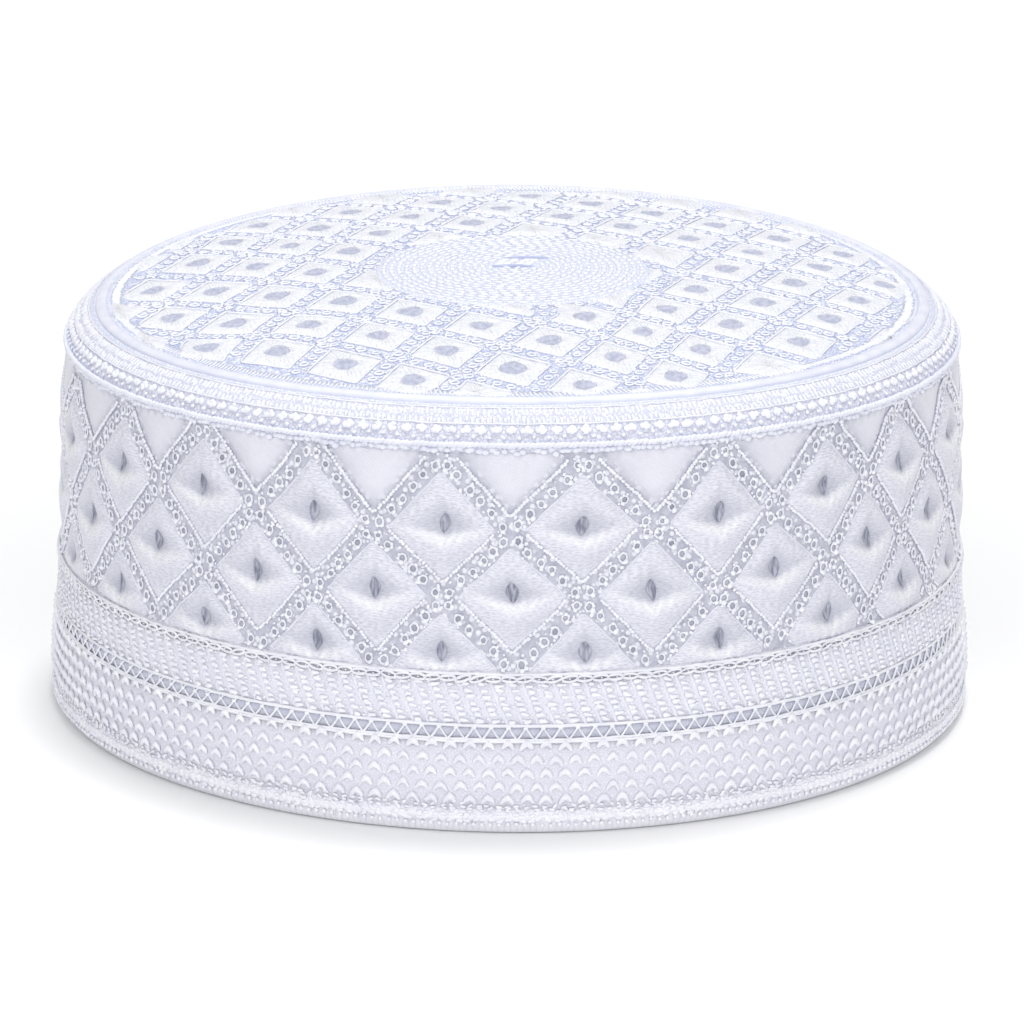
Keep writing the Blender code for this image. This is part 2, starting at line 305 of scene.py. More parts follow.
def squeezed(heading, power):  # reach of a rounded diamond towards each heading
    return (np.abs(np.cos(heading)) ** power + np.abs(np.sin(heading)) ** power) ** (-1 / power)


def whole(mesh):  # merges the tiles' shared points and turns every face outwards
    shape = bmesh.new()
    shape.from_mesh(mesh)
    bmesh.ops.remove_doubles(shape, verts=shape.verts[:], dist=0.003 * mm)
    bmesh.ops.dissolve_degenerate(shape, dist=0.001 * mm, edges=shape.edges[:])
    bmesh.ops.recalc_face_normals(shape, faces=shape.faces[:])
    shape.to_mesh(mesh)
    shape.free()


def thicken(piece, depth):  # inwards, in mm
    solid = piece.modifiers.new("thickness", "SOLIDIFY")
    solid.thickness = depth * mm
    solid.offset = -1.0


def strip(low, high, face, back=-2.2, rows=3):  # closed loop for a band up the wall, lifts in mm
    heights = np.linspace(low, high, rows)
    radii = np.interp(heights, fineHeights, fineRadii)
    outer = list(zip(radii + face, heights))
    inner = list(zip(radii + back, heights))
    return outer + inner[::-1]


def bead(sides, rings):  # little round stitch, one unit in radius
    shape = bmesh.new()
    bmesh.ops.create_uvsphere(shape, u_segments=sides, v_segments=rings, radius=1.0)
    return takeShape(shape)


def turnShape(shape, corners, degrees, axis):
    turn = Matrix.Rotation(math.radians(degrees), 3, axis)
    bmesh.ops.rotate(shape, verts=corners, cent=(0, 0, 0), matrix=turn)


def stitch(sides=5, head=1.0):  # short stitch that lies along X; a head over 1 thickens its left end
    shape = bmesh.new()
    bmesh.ops.create_uvsphere(shape, u_segments=sides, v_segments=3, radius=1.0)
    turnShape(shape, shape.verts[:], -90, "Y")
    points, faces = takeShape(shape)
    points[:, 1:] *= (1 + (head - 1) * softStep((-points[:, 0] + 0.1) / 0.6))[:, None]
    return points, faces


def eyelet(inner=0.54, sides=4, steps=7):  # ring of thread, one unit in outer radius
    tube = (1 - inner) / 2
    shape = bmesh.new()
    made = bmesh.ops.create_circle(shape, segments=sides, radius=tube, cap_ends=False)["verts"]
    turnShape(shape, made, 90, "X")
    bmesh.ops.translate(shape, verts=made, vec=(1 - tube, 0, 0))
    bmesh.ops.spin(shape, geom=made + shape.edges[:], axis=(0, 0, 1), cent=(0, 0, 0), angle=fullTurn,
                   steps=steps, use_merge=True)
    bmesh.ops.recalc_face_normals(shape, faces=shape.faces[:])
    return takeShape(shape)


def shadeDot(sides=6):  # low disc seen through an eyelet
    shape = bmesh.new()
    bmesh.ops.create_cone(shape, cap_ends=True, segments=sides, radius1=1.0, radius2=0.8, depth=1.0)
    return takeShape(shape)


# looks

def addNode(look, kind, inputs=(), **settings):
    node = look.node_tree.nodes.new(kind)
    for key, value in settings.items():
        setattr(node, key, value)
    for key, value in dict(inputs).items():
        if isinstance(value, bpy.types.NodeSocket):
            look.node_tree.links.new(value, node.inputs[key])
        else:
            node.inputs[key].default_value = value
    return node


def newLook(name, roughness, sheen=0.25, specular=0.35):
    look = bpy.data.materials.new(name)
    look.use_nodes = True
    shader = look.node_tree.nodes["Principled BSDF"]
    shader.inputs["Roughness"].default_value = roughness
    shader.inputs["Specular IOR Level"].default_value = specular
    shader.inputs["Sheen Weight"].default_value = sheen
    shader.inputs["Sheen Roughness"].default_value = 0.5
    return look, shader


def connect(look, output, target):
    look.node_tree.links.new(output, target)


def twoTone(look, share, dark, light):  # dark and light are colours or the outputs of other nodes
    mix = addNode(look, "ShaderNodeMix", data_type="RGBA")
    connect(look, share, mix.inputs["Factor"])
    for socket, tone in ((mix.inputs[6], dark), (mix.inputs[7], light)):
        if isinstance(tone, tuple):
            socket.default_value = (*tone, 1.0)
        else:
            connect(look, tone, socket)
    return mix.outputs[2]


def spread(look, value, low, high):
    ends = {"Value": value, "From Min": low, "From Max": high}
    return addNode(look, "ShaderNodeMapRange", ends).outputs["Result"]


def bumped(look, height, depth, under=None):  # depth in mm
    bump = addNode(look, "ShaderNodeBump", {"Height": height, "Strength": 1.0, "Distance": depth * mm})
    if under:
        connect(look, under, bump.inputs["Normal"])
    return bump.outputs["Normal"]


def inSpace(look):
    return addNode(look, "ShaderNodeTexCoord").outputs["Object"]


def clothMap(look):
    return addNode(look, "ShaderNodeUVMap", uv_map="cloth").outputs["UV"]


def stretchedMap(look, across, along):  # the cloth's map, in threads a metre
    settings = {"Vector": clothMap(look), "Scale": (across, along, 1.0)}
    return addNode(look, "ShaderNodeMapping", settings).outputs["Vector"]


def pointShare(look, name):
    return addNode(look, "ShaderNodeAttribute", attribute_name=name).outputs["Fac"]


def noise(look, place, scale, detail, **more):
    settings = {"Vector": place, "Scale": scale, "Detail": detail, **more}
    return addNode(look, "ShaderNodeTexNoise", settings).outputs["Fac"]


def blend(look, share, first, second):
    mix = addNode(look, "ShaderNodeMix", {"Factor": share}, data_type="FLOAT")
    connect(look, first, mix.inputs[2])
    connect(look, second, mix.inputs[3])
    return mix.outputs[0]


def knotted(look, place, size, low, high):  # round knots of thread, size in mm
    cells = addNode(look, "ShaderNodeTexVoronoi", {"Vector": place, "Scale": 1000 / size, "Randomness": 1.0})
    return spread(look, cells.outputs["Distance"], low, high)


def loops(look, place, size):  # white loops of thread with thin grooves between, size in mm
    settings = {"Vector": place, "Scale": 1 / (size * mm), "Randomness": 0.9}
    cells = addNode(look, "ShaderNodeTexVoronoi", settings, feature="DISTANCE_TO_EDGE")
    return spread(look, cells.outputs["Distance"], 0.02, 0.2)


def shown(look, shader, tone, normal):
    connect(look, tone, shader.inputs["Base Color"])
    connect(look, normal, shader.inputs["Normal"])
    return look


def threadLook(name, grooveShade, dark, light, roughness=0.5, grain=0.3):  # grain of the fibres in mm
    look, shader = newLook(name, roughness)
    place = inSpace(look)
    thread = twoTone(look, spread(look, noise(look, place, 240.0, 4.0), 0.35, 0.62), dark, light)
    # the groove tone, where a stitch lies low, is painted shade between the stitches
    tone = twoTone(look, spread(look, pointShare(look, "rise"), -0.2, 0.45), grooveShade, thread)
    return shown(look, shader, tone, bumped(look, noise(look, place, 1 / (grain * mm), 2.0), 0.05))


def groundLook(name, grooveShade, thread, size):
    look, shader = newLook(name, 0.65)
    share = loops(look, inSpace(look), size)
    # the groove tone between the loops is painted shade
    return shown(look, shader, twoTone(look, share, grooveShade, thread), bumped(look, share, 0.06))


brightThread = threadLook("brightThread", (0.68, 0.685, 0.785), (0.86, 0.865, 0.935), (0.93, 0.935, 0.985))
braidThread = threadLook("braidThread", (0.78, 0.785, 0.865), (0.82, 0.825, 0.90), (0.86, 0.865, 0.93))
hemThread = threadLook("hemThread", (0.72, 0.725, 0.81), (0.85, 0.855, 0.92), (0.89, 0.895, 0.95))
crownThread = threadLook("crownThread", (0.64, 0.69, 0.86), (0.86, 0.87, 0.945), (0.92, 0.93, 0.98))
braidGround = groundLook("braidGround", (0.76, 0.765, 0.85), (0.83, 0.835, 0.91), 0.6)
shoulderGround = groundLook("shoulderGround", (0.58, 0.60, 0.73), (0.77, 0.78, 0.87), 0.9)
shoulderThread = threadLook("shoulderThread", (0.58, 0.60, 0.73), (0.82, 0.825, 0.90), (0.89, 0.895, 0.95))
crownGround = groundLook("crownGround", (0.62, 0.675, 0.86), (0.87, 0.885, 0.96), 0.7)
netBackCloth = groundLook("netBackCloth", (0.58, 0.60, 0.715), (0.65, 0.67, 0.78), 0.5)
# darker lavender copies of the white thread: painted shade on the rims, cords, scallops and ribs
shadedRimThread = threadLook("shadedRimThread", (0.66, 0.69, 0.82), (0.77, 0.785, 0.89), (0.84, 0.85, 0.93))
shadedCordThread = threadLook("shadedCordThread", (0.61, 0.64, 0.78), (0.72, 0.74, 0.86), (0.80, 0.815, 0.91))
shadeCloth = threadLook("shadeCloth", (0.30, 0.315, 0.39), (0.34, 0.355, 0.43), (0.52, 0.535, 0.62), 0.8, 0.4)
crownShade = threadLook("crownShade", (0.36, 0.41, 0.63), (0.39, 0.44, 0.67), (0.52, 0.565, 0.77), 0.8, 0.4)


def liningLook():
    look, shader = newLook("cottonLining", 0.8, sheen=0.1, specular=0.2)
    threads = {"Vector": clothMap(look), "Scale": 620.0, "Distortion": 0.6}
    waves = [addNode(look, "ShaderNodeTexWave", threads, bands_direction=way) for way in "XY"]
    weft, warp = [wave.outputs["Fac"] for wave in waves]
    weave = addNode(look, "ShaderNodeMath", {0: weft, 1: warp}, operation="MAXIMUM").outputs["Value"]
    tone = twoTone(look, weave, (0.62, 0.63, 0.72), (0.74, 0.75, 0.83))
    return shown(look, shader, tone, bumped(look, weave, 0.05))


def eyeLook(name, dark, light, fine):  # gathered threads that close a pierced eye, fine in threads a metre
    look, shader = newLook(name, 0.7, sheen=0.1)
    # the threads' dark grey is painted shade inside the eye
    share = spread(look, noise(look, stretchedMap(look, *fine), 1.0, 3.0), 0.38, 0.62)
    return shown(look, shader, twoTone(look, share, dark, light), bumped(look, share, 0.12))


def satinLook():
    look, shader = newLook("paddedSatin", 0.40, sheen=0.2, specular=0.6)
    place, cloth = inSpace(look), clothMap(look)
    # the pads' colour carries a painted shade round each eye and a painted highlight in the V under it
    ladder, plain, paintedShade, paintedHighlight = [pointShare(look, name) for name in ("ladder", "plain", "paintedShade", "paintedHighlight")]
    silk = noise(look, stretchedMap(look, 1000.0, 3800.0), 1.0, 2.0, Distortion=0.3)
    slant = {"Vector": cloth, "Rotation": (0.0, 0.0, math.radians(-62))}
    slanted = addNode(look, "ShaderNodeMapping", slant).outputs["Vector"]
    ribs = {"Vector": slanted, "Scale": 760.0, "Distortion": 4.0, "Detail": 3.0, "Detail Scale": 0.6}
    twill = addNode(look, "ShaderNodeTexWave", ribs, bands_direction="X").outputs["Fac"]
    softTwill = blend(look, 0.6, twill, noise(look, cloth, 900.0, 2.0))
    weave = blend(look, plain, silk, softTwill)
    streaks = spread(look, weave, 0.34, 0.62)
    satin = twoTone(look, streaks, (0.59, 0.595, 0.685), (0.81, 0.815, 0.89))
    flatSatin = twoTone(look, streaks, (0.69, 0.695, 0.775), (0.79, 0.795, 0.875))
    # soft folds of the plain satin, painted into its colour as light and shade
    paintedFolds = spread(look, noise(look, slanted, 170.0, 2.0), 0.3, 0.7)
    satin = twoTone(look, plain, satin, twoTone(look, paintedFolds, flatSatin, (0.78, 0.785, 0.865)))
    # darker satin for the painted shade and lighter satin for the painted highlight
    paintedShadeSatin = twoTone(look, streaks, (0.45, 0.46, 0.55), (0.55, 0.56, 0.65))
    paintedHighlightSatin = twoTone(look, streaks, (0.87, 0.875, 0.93), (0.99, 0.99, 0.995))
    shaded = twoTone(look, paintedHighlight, twoTone(look, paintedShade, satin, paintedShadeSatin), paintedHighlightSatin)
    mottle = spread(look, noise(look, place, 650.0, 3.0), 0.35, 0.65)
    knots = knotted(look, place, 1.35, 0.50, 0.32)
    # the ladder ground's grey between the white knots is painted shade; its mottling is random
    mottledShade = twoTone(look, mottle, (0.46, 0.47, 0.565), (0.59, 0.60, 0.69))
    ground = twoTone(look, knots, mottledShade, (0.83, 0.835, 0.91))
    onLadder = addNode(look, "ShaderNodeMath", {0: knots, 1: ladder}, operation="MULTIPLY").outputs["Value"]
    relief = bumped(look, weave, 0.09, bumped(look, onLadder, 0.16))
    return shown(look, shader, twoTone(look, ladder, shaded, ground), relief)


def crownLook():
    look, shader = newLook("crownSatin", 0.45, sheen=0.2, specular=0.4)
    place = inSpace(look)
    share = spread(look, noise(look, stretchedMap(look, 1300.0, 500.0), 1.0, 2.0), 0.36, 0.5)
    satin = twoTone(look, share, (0.80, 0.825, 0.93), (0.92, 0.93, 0.975))
    stitched = loops(look, place, 0.85)
    # lavender grooves between the loops are painted shade
    ground = twoTone(look, stitched, (0.44, 0.50, 0.75), (0.76, 0.79, 0.92))
    ground = twoTone(look, knotted(look, place, 1.4, 0.46, 0.28), ground, (0.90, 0.91, 0.97))
    tone = twoTone(look, pointShare(look, "ladder"), satin, ground)
    return shown(look, shader, tone, bumped(look, share, 0.07, bumped(look, stitched, 0.08)))


cottonLining = liningLook()
paddedSatin = satinLook()
crownSatin = crownLook()
# the eyes' dark greys are painted shade
sideEyeCloth = eyeLook("sideEyeCloth", (0.22, 0.235, 0.31), (0.52, 0.535, 0.62), (1500.0, 350.0))
crownEyeCloth = eyeLook("crownEyeCloth", (0.43, 0.455, 0.59), (0.58, 0.60, 0.72), (900.0, 500.0))
print("looks mixed")

# satin band: one ring-shaped net of faces round each eye, joined corner to corner

band = {
    "columns": 22,
    "patternTurn": 0.3,  # degrees
    "middleRow": 46.0,
    "halfDiamond": 13.9,
    "bottom": 31.9,
    "top": 75.6,
    "clothDepth": 1.1,
    "edgeDepth": 0.45,  # the chain below and the cord above hold the cloth up
    "edgeWidth": 2.2,
    "thickness": 0.8,
    "padShare": 0.76,  # of a diamond; the rest is ladder
    "puff": 1.3,
    "plainPuff": 0.5,
    "tuft": 1.1,  # how deep the eye is drawn in
    "fold": 0.75,  # how deep the folded hollow round the eye is
    "foldReach": 7.6,
    "foldDrop": 2.6,
    "foldRise": 5.0,
    "foldWall": 1.3,
    "eyeHalfWidth": 1.1,
    "eyeHalfHeight": 2.05,
    "eyeDepth": 0.30,  # how far under its rim an eye's threads lie
    "facesPerSide": 10,
    "waver": 0.2,
    "driftReach": 7.5,
    "eyesSeen": (  # row, first column, and the pixels of its eyes from there on, read in the photo
        (1, -3.5, (119, 463), (203, 482.5), (314.5, 510), (443.75, 526), (581.25, 526.75), (718, 513.75),
         (827, 487), (903, 458.75), (952, 431)),
        (0, -4.0, (87.5, 512.5), (153.75, 542.5), (254.5, 570), (375, 591), (512.5, 592.5), (654.5, 590.5),
         (777, 570), (872.5, 536), (933, 509)),
        (-1, -3.5, (117.5, 584), (202, 614), (314.5, 641), (444, 655), (586, 656), (722, 639),
         (830.5, 610), (905, 577.5)),
    ),
    "crossingsSeen": (  # the same for the ladders' crossings; the third of row 0 is put 2.5 pixels lower
        (1, -3.0, (153.75, 482.5), (252.5, 508.75), (366, 529), (510, 534), (658.5, 528.75), (778.75, 506),
         (872.5, 475)),
        (0, -2.5, (201, 567.5), (312, 588.75), (440, 595), (583.75, 598.75), (725, 591), (833.75, 555)),
        (2, -2.5, (200, 421), (307.5, 441), (440, 454), (585, 456), (725, 442.5), (832.5, 421)),
    ),
}
arcPerColumn = girth / band["columns"]
patternStart = math.radians(band["patternTurn"]) * cap["radius"]
halfWide, halfHigh = arcPerColumn / 2, band["halfDiamond"]
ringShares = (0.17, 0.24, 0.31, 0.38, 0.46, 0.54, 0.62, 0.69, 0.75, 0.785, 1.0)
eyeHeights = {-1: 3.3, 0: 1.6, 1: 1.2}  # above the middle of a diamond of that row
eyeShapes = []
lattice, raised, pixels = [], [], []
for table, heights in ((band["eyesSeen"], eyeHeights), (band["crossingsSeen"], {})):
    for row, first, *places in table:
        for number, pixel in enumerate(places):
            arc = patternStart + (first + number) * arcPerColumn
            lattice.append((arc, band["middleRow"] + row * halfHigh, 0.0))
            raised.append((0.0, heights.get(row, 0.0), 0.0))
            pixels.append(pixel)
driftArcs, driftHeights = np.array(lattice).T[:2]
expected = np.add(lattice, raised)
bandDrift = np.round(seenAt(onWall, expected, pixels) - expected[:, :2], 1)  # how far the hand work strays


def bandDrifted(flat):  # moves flat points with the nearest pads and crossings
    flat = np.array(flat, float)
    across = (flat[:, :1] - driftArcs + girth / 2) % girth - girth / 2
    weights = np.exp(-(across ** 2 + (flat[:, 1:2] - driftHeights) ** 2) / (2 * band["driftReach"] ** 2))
    flat[:, :2] += weights @ bandDrift / (weights.sum(1) + 0.1)[:, None]
    return flat


def bandEdge(height):  # 1 at the band's edges, 0 on the rest of it
    width = band["edgeWidth"]
    return 1 - softStep((height - band["bottom"]) / width) * softStep((band["top"] - height) / width)


def onBand(flat):  # as onWall, with the small wavering of lines drawn by hand
    flat = np.array(flat, float)
    turns, height = flat[:, 0] / cap["radius"], flat[:, 1]
    loose = band["waver"] * softStep((height - band["bottom"]) / 6) * softStep((band["top"] - height) / 6)
    flat[:, 0] += loose * (np.sin(9 * turns + height / 6) + 0.7 * np.sin(23 * turns - height / 4))
    flat[:, 2] += (band["clothDepth"] - band["edgeDepth"]) * bandEdge(height)
    flat[:, 1] += loose * (np.sin(13 * turns - height / 7) + 0.7 * np.sin(31 * turns + height / 5))
    return onWall(flat)


def padLift(x, z, eye, tuft, plain):  # x and z from the diamond's middle, in mm
    rising = np.abs(x / halfWide + z / halfHigh) / band["padShare"]
    falling = np.abs(x / halfWide - z / halfHigh) / band["padShare"]
    inside = np.clip((1 - np.minimum(rising, 1) ** 2.6) * (1 - np.minimum(falling, 1) ** 2.6), 0, 1)
    if plain:
        # painted shade on the plain satin, darker near its borders and on its left side
        shade = 0.5 * (1 - softStep(inside * 1.5)) + 0.3 * softStep(-x / 7) * softStep((4 - z) / 8)
        return band["plainPuff"] * inside ** 0.5, shade, np.zeros_like(x)
    puff = band["puff"] * inside ** 0.5
    dx, dz = np.abs(x - eye[0]), z - eye[1]
    # height over the fold, a V under the eye
    fold = dz + band["foldDrop"] * np.clip(1 - dx / band["foldReach"], 0, 1)
    roof = 1.1 - dx / band["foldReach"] - np.clip(dz, 0, None) / band["foldRise"]
    hollow = softStep(roof) * softStep(1 + fold / band["foldWall"])
    depth = tuft * np.exp(-(dx / 2.4) ** 2 - (dz / np.where(dz > 0, 2.6, 1.7)) ** 2) + band["fold"] * hollow
    creaseUp = 0.25 * np.exp(-(dx / 0.5) ** 2) * softStep((dz - 1.5) / 2) * softStep((9.5 - dz) / 4)
    # painted shade towards the pad's lower corner
    low = 0.4 * softStep((-fold - 2.0) / 3.0) * (0.5 + 0.5 * softStep((x - eye[0] + 3) / 6))
    low = low * softStep(inside * 3)
    # painted shade over the folded hollow round the eye, and a painted highlight along the V under it
    shade = np.where(fold > -0.3, np.clip(roof, 0, 1) ** 0.8 * softStep((fold + 0.3) / 0.7), low)
    paintedHighlight = np.exp(-((fold + 0.9) / 0.75) ** 2) * np.exp(-(dx / 6.0) ** 2)
    return puff - (depth + creaseUp) * softStep(inside * 4), shade, paintedHighlight


def padShape(column, row):  # flat points and faces of one diamond
    perSide = band["facesPerSide"]
    middleArc, middleHeight = patternStart + column * arcPerColumn, band["middleRow"] + row * halfHigh
    if row not in eyeHeights:
        shape = bmesh.new()
        bmesh.ops.create_grid(shape, x_segments=perSide, y_segments=perSide, size=1.0)
        points, faces = takeShape(shape)
        rising, falling = points[:, 0], points[:, 1]
        x, z = (rising + falling) / 2 * halfWide, (rising - falling) / 2 * halfHigh
        lift, shade, paintedHighlight = padLift(x, z, (0.0, 0.0), 0.0, True)
    else:
        faces, _, share, rising, falling = ringNet(perSide, ringShares)
        edgeX, edgeZ = (rising + falling) / 2, (rising - falling) / 2
        heading = np.arctan2(edgeZ, edgeX)
        wide = band["eyeHalfWidth"] * dice.uniform(0.8, 1.15)
        high = band["eyeHalfHeight"] * dice.uniform(0.9, 1.1)
        lean = dice.uniform(-0.35, 0.35)
        eyeX = wide * np.cos(heading) * squeezed(heading, 1.5) + lean * np.sin(heading)
        eyeZ = high * np.sin(heading) * squeezed(heading, 1.5)
        outwards = softStep((share - 0.1) / 0.3)
        shifted = 1 - softStep((share - 0.2) / 0.4)
        nearEye = (1 - outwards) * (1 + 1.2 * share)
        eye = (dice.uniform(-0.4, 0.4), eyeHeights[row] + dice.uniform(-0.3, 0.3))
        x = nearEye * eyeX + outwards * edgeX * share * halfWide + eye[0] * shifted
        z = nearEye * eyeZ + outwards * edgeZ * share * halfHigh + eye[1] * shifted
        tuft = band["tuft"] * dice.uniform(0.9, 1.1)
        lift, shade, paintedHighlight = padLift(x, z, eye, tuft, False)
        patch, patchFaces = bead(10, 6)  # threads gathered over the eye, just under its rim
        patchX = eye[0] + patch[:, 0] * wide * 1.35 + patch[:, 1] * lean
        patchZ = eye[1] + patch[:, 1] * high * 1.2
        patchLift = padLift(patchX, patchZ, eye, tuft, False)[0] + 0.16 * patch[:, 2]
        patchLift -= band["clothDepth"] + band["eyeDepth"]
        flatPatch = np.stack([middleArc + patchX, middleHeight + patchZ, patchLift, patch[:, 2]], 1)
        eyeShapes.append((bandDrifted(flatPatch), patchFaces))
    return np.stack([middleArc + x, middleHeight + z, lift - band["clothDepth"], shade, paintedHighlight], 1), faces


points, faces = joined(*[padShape(column + (0.5 if row % 2 else 0.0), row)
                         for row in (-2, -1, 0, 1, 2, 3) for column in range(band["columns"])])
column = (points[:, 0] - patternStart) / arcPerColumn
row = (points[:, 1] - band["middleRow"]) / halfHigh
rising, falling = 2 * column + row, 2 * column - row
outermost = np.maximum(np.abs(rising - 2 * np.rint(rising / 2)), np.abs(falling - 2 * np.rint(falling / 2)))
shares = {
    # the painted shade and the painted highlight of the pads, read by the satin's colour
    "paintedShade": points[:, 3],
    "paintedHighlight": points[:, 4],
    "ladder": softStep((outermost - 0.765) / 0.02),
    "plain": row > 1.0 + np.abs(2 * (column - np.rint(column))),
}
flatMesh = bpy.data.meshes.new("flatBand")
flatMesh.from_pydata(bandDrifted(points)[:, :3].tolist(), [], faces)
for name, values in shares.items():
    setShare(flatMesh, name, values)
shape = bmesh.new()
shape.from_mesh(flatMesh)
bpy.data.meshes.remove(flatMesh)
for height, way in ((band["bottom"], -1), (band["top"], 1)):
    everything = shape.verts[:] + shape.edges[:] + shape.faces[:]
    bmesh.ops.bisect_plane(shape, geom=everything, plane_co=(0, height, 0), plane_no=(0, way, 0),
                           clear_outer=True, dist=0.0001)
layers = [shape.verts.layers.float[name] for name in shares]
carried = np.array([[vertex[layer] for layer in layers] for vertex in shape.verts])
points, faces = takeShape(shape)
points[:, 2] = -band["clothDepth"] + (points[:, 2] + band["clothDepth"]) * (1 - bandEdge(points[:, 1]))
mesh = newMesh("satinBand", onBand(points), faces, points)
for index, name in enumerate(shares):
    setShare(mesh, name, carried[:, index])
whole(mesh)
satinBand = finishPiece("satinBand", mesh, paddedSatin, "satin", "diamond_band")
thicken(satinBand, band["thickness"])
stitchedPiece("sideEyes", onBand, sideEyeCloth, "thread", *eyeShapes)
print("satin band sewn")

# threads and eyelets of the side's ladders

ladder = {
    "borderShare": 0.78,  # of a diamond, where the beaded line under each pad runs
    "plainBorderShare": 0.80,
    "beadPitch": 0.72,
    "bead": (0.47, 0.43, 0.42),
    "plainBeadPitch": 0.76,
    "plainBead": (0.50, 0.45, 0.42),
    "beadSlant": 15.0,  # degrees
    "cornerRound": 0.03,
    "edgeRadius": 0.22,
    "eyeletOffset": 0.3,  # towards the pad below
    "eyeletRadius": 1.0,
    "eyeletPitch": 3.04,
    "eyeletsPerSide": 6,
    "nearestEyelet": 2.0,
    "ringLumps": (0.52, 0.38, 0.34),
    "knotRadius": 0.36,
    "smallestKnot": 0.65,
    "knotChance": 0.42,
    "knotsAlong": (0.35, 1.52),
    "knotsAside": (1.0, 1.4),
}


def ropeSpots(corners, pitch, size, slant, lift):  # slanted stitches along a line of flat mm
    steps = np.diff(corners[:, :2], axis=0)
    lengths = np.r_[0, np.cumsum(np.hypot(*steps.T))]
    count = max(2, round(lengths[-1] / pitch))
    places = (np.arange(count) + 0.5) * lengths[-1] / count
    x, y = (np.interp(places, lengths, corners[:, axis]) + dice.normal(0, 0.07, count) for axis in (0, 1))
    heading = np.arctan2(steps[:, 1], steps[:, 0])[np.searchsorted(lengths, places) - 1]
    turned = heading + math.radians(slant) + dice.normal(0, 0.15, count)
    sizes = [extent * dice.uniform(0.8, 1.2, count) for extent in size]
    return np.stack([x, y, np.full(count, lift), turned] + sizes, 1)


def roundedDiamond(column, row, share, cornerRound):
    corners = []
    for quarter in range(4):
        start, end = (np.array([math.cos(turn), math.sin(turn)]).round(9)
                      for turn in (quarter * math.pi / 2, (quarter + 1) * math.pi / 2))
        for step in np.linspace(cornerRound, 1 - cornerRound, 9):
            corners.append((1 - step) * start + step * end)
    corners = np.array(corners) * share * (halfWide, halfHigh)
    return corners + (patternStart + column * arcPerColumn, band["middleRow"] + row * halfHigh)


borderSpots, edgePaths = [], []
for row in (-2, -1, 0, 1, 2):
    for number in range(band["columns"]):
        column = number + (0.5 if row % 2 else 0.0)
        if row == 2:
            share, pitch, size = ladder["plainBorderShare"], ladder["plainBeadPitch"], ladder["plainBead"]
        else:
            share, pitch, size = ladder["borderShare"], ladder["beadPitch"], ladder["bead"]
            upper = roundedDiamond(column, row, ladder["borderShare"], ladder["cornerRound"])[:18]
            flat = np.c_[upper + dice.normal(0, 0.05, (18, 2)), np.full(18, -band["clothDepth"] + 0.02)]
            flat = bandDrifted(flat)
            flat = flat[flat[:, 1] > band["bottom"] + 0.5]
            if len(flat) < 3:
                continue
            edgePaths.append((onBand(flat), ladder["edgeRadius"] * dice.uniform(0.7, 1.2, len(flat)), False))
        if row > -2:
            lower = bandDrifted(roundedDiamond(column, row, share, ladder["cornerRound"])[18:])
            borderSpots.append(ropeSpots(lower, pitch, size, ladder["beadSlant"], 0.30 - band["clothDepth"]))
borderSpots = np.concatenate(borderSpots)
inBand = (borderSpots[:, 1] > band["bottom"] + 0.9) & (borderSpots[:, 1] < band["top"] - 0.3)
stitchedPiece("ladderBorders", onBand, brightThread, "thread", copiesOf(stitch(), borderSpots[inBand]))
threadPiece("padEdges", edgePaths, shadedRimThread, "thread")

eyeletSpots, holeSpots, knotSpots = [], [], []
sideLength = math.hypot(halfWide, halfHigh)
for node in range(band["columns"]):
    for row in (-2, -1, 0, 1, 2):
        start = np.array([patternStart + (node + (0.0 if row % 2 else 0.5)) * arcPerColumn,
                          band["middleRow"] + row * halfHigh])
        for way in (-1, 1):
            heading = np.array([way * halfWide, halfHigh]) / sideLength
            normal = np.array([-heading[1], heading[0]])
            for count in range(ladder["eyeletsPerSide"]):
                along = ladder["nearestEyelet"] + count * ladder["eyeletPitch"]
                place = (start + heading * (along + dice.uniform(-0.3, 0.3))
                         + normal * (dice.uniform(-0.3, 0.3) - way * ladder["eyeletOffset"]))
                place = bandDrifted(place[None])[0]
                if not band["bottom"] + 1.1 < place[1] < band["top"] - 0.9:
                    continue
                size = ladder["eyeletRadius"] * dice.uniform(0.85, 1.1)
                tall = dice.uniform(1.0, 1.25)
                lift = -band["clothDepth"]
                turned = dice.uniform(-0.3, 0.3)
                eyeletSpots.append((*place, lift + 0.15, turned, size, size * tall, size * 0.9))
                holeSpots.append((*place, lift + 0.03, turned, size * 0.66, size * 0.66 * tall, 0.10))
                # the ring is lumpy where its thread was drawn tight
                around = (-math.pi / 2 + dice.normal(0, 0.5), math.pi / 2 + dice.normal(0, 0.7),
                          dice.uniform(0, fullTurn))
                for angle, knot in zip(around, ladder["ringLumps"]):
                    knot *= dice.uniform(0.8, 1.2)
                    spot = place + 0.92 * size * np.array([math.cos(angle), math.sin(angle)])
                    knotSpots.append((*spot, lift + 0.18, angle, knot, knot * 1.3, knot))
                knotSpots += looseKnots(place, heading, ladder, lift + 0.12)
stitchedPiece("ladderEyelets", onBand, brightThread, "thread", copiesOf(eyelet(), eyeletSpots))
stitchedPiece("eyeletShades", onBand, shadeCloth, "thread", copiesOf(shadeDot(), holeSpots))
stitchedPiece("ladderKnots", onBand, brightThread, "thread", copiesOf(bead(5, 3), knotSpots))
print("ladders stitched with", len(eyeletSpots), "eyelets and", len(knotSpots), "knots")

# hem

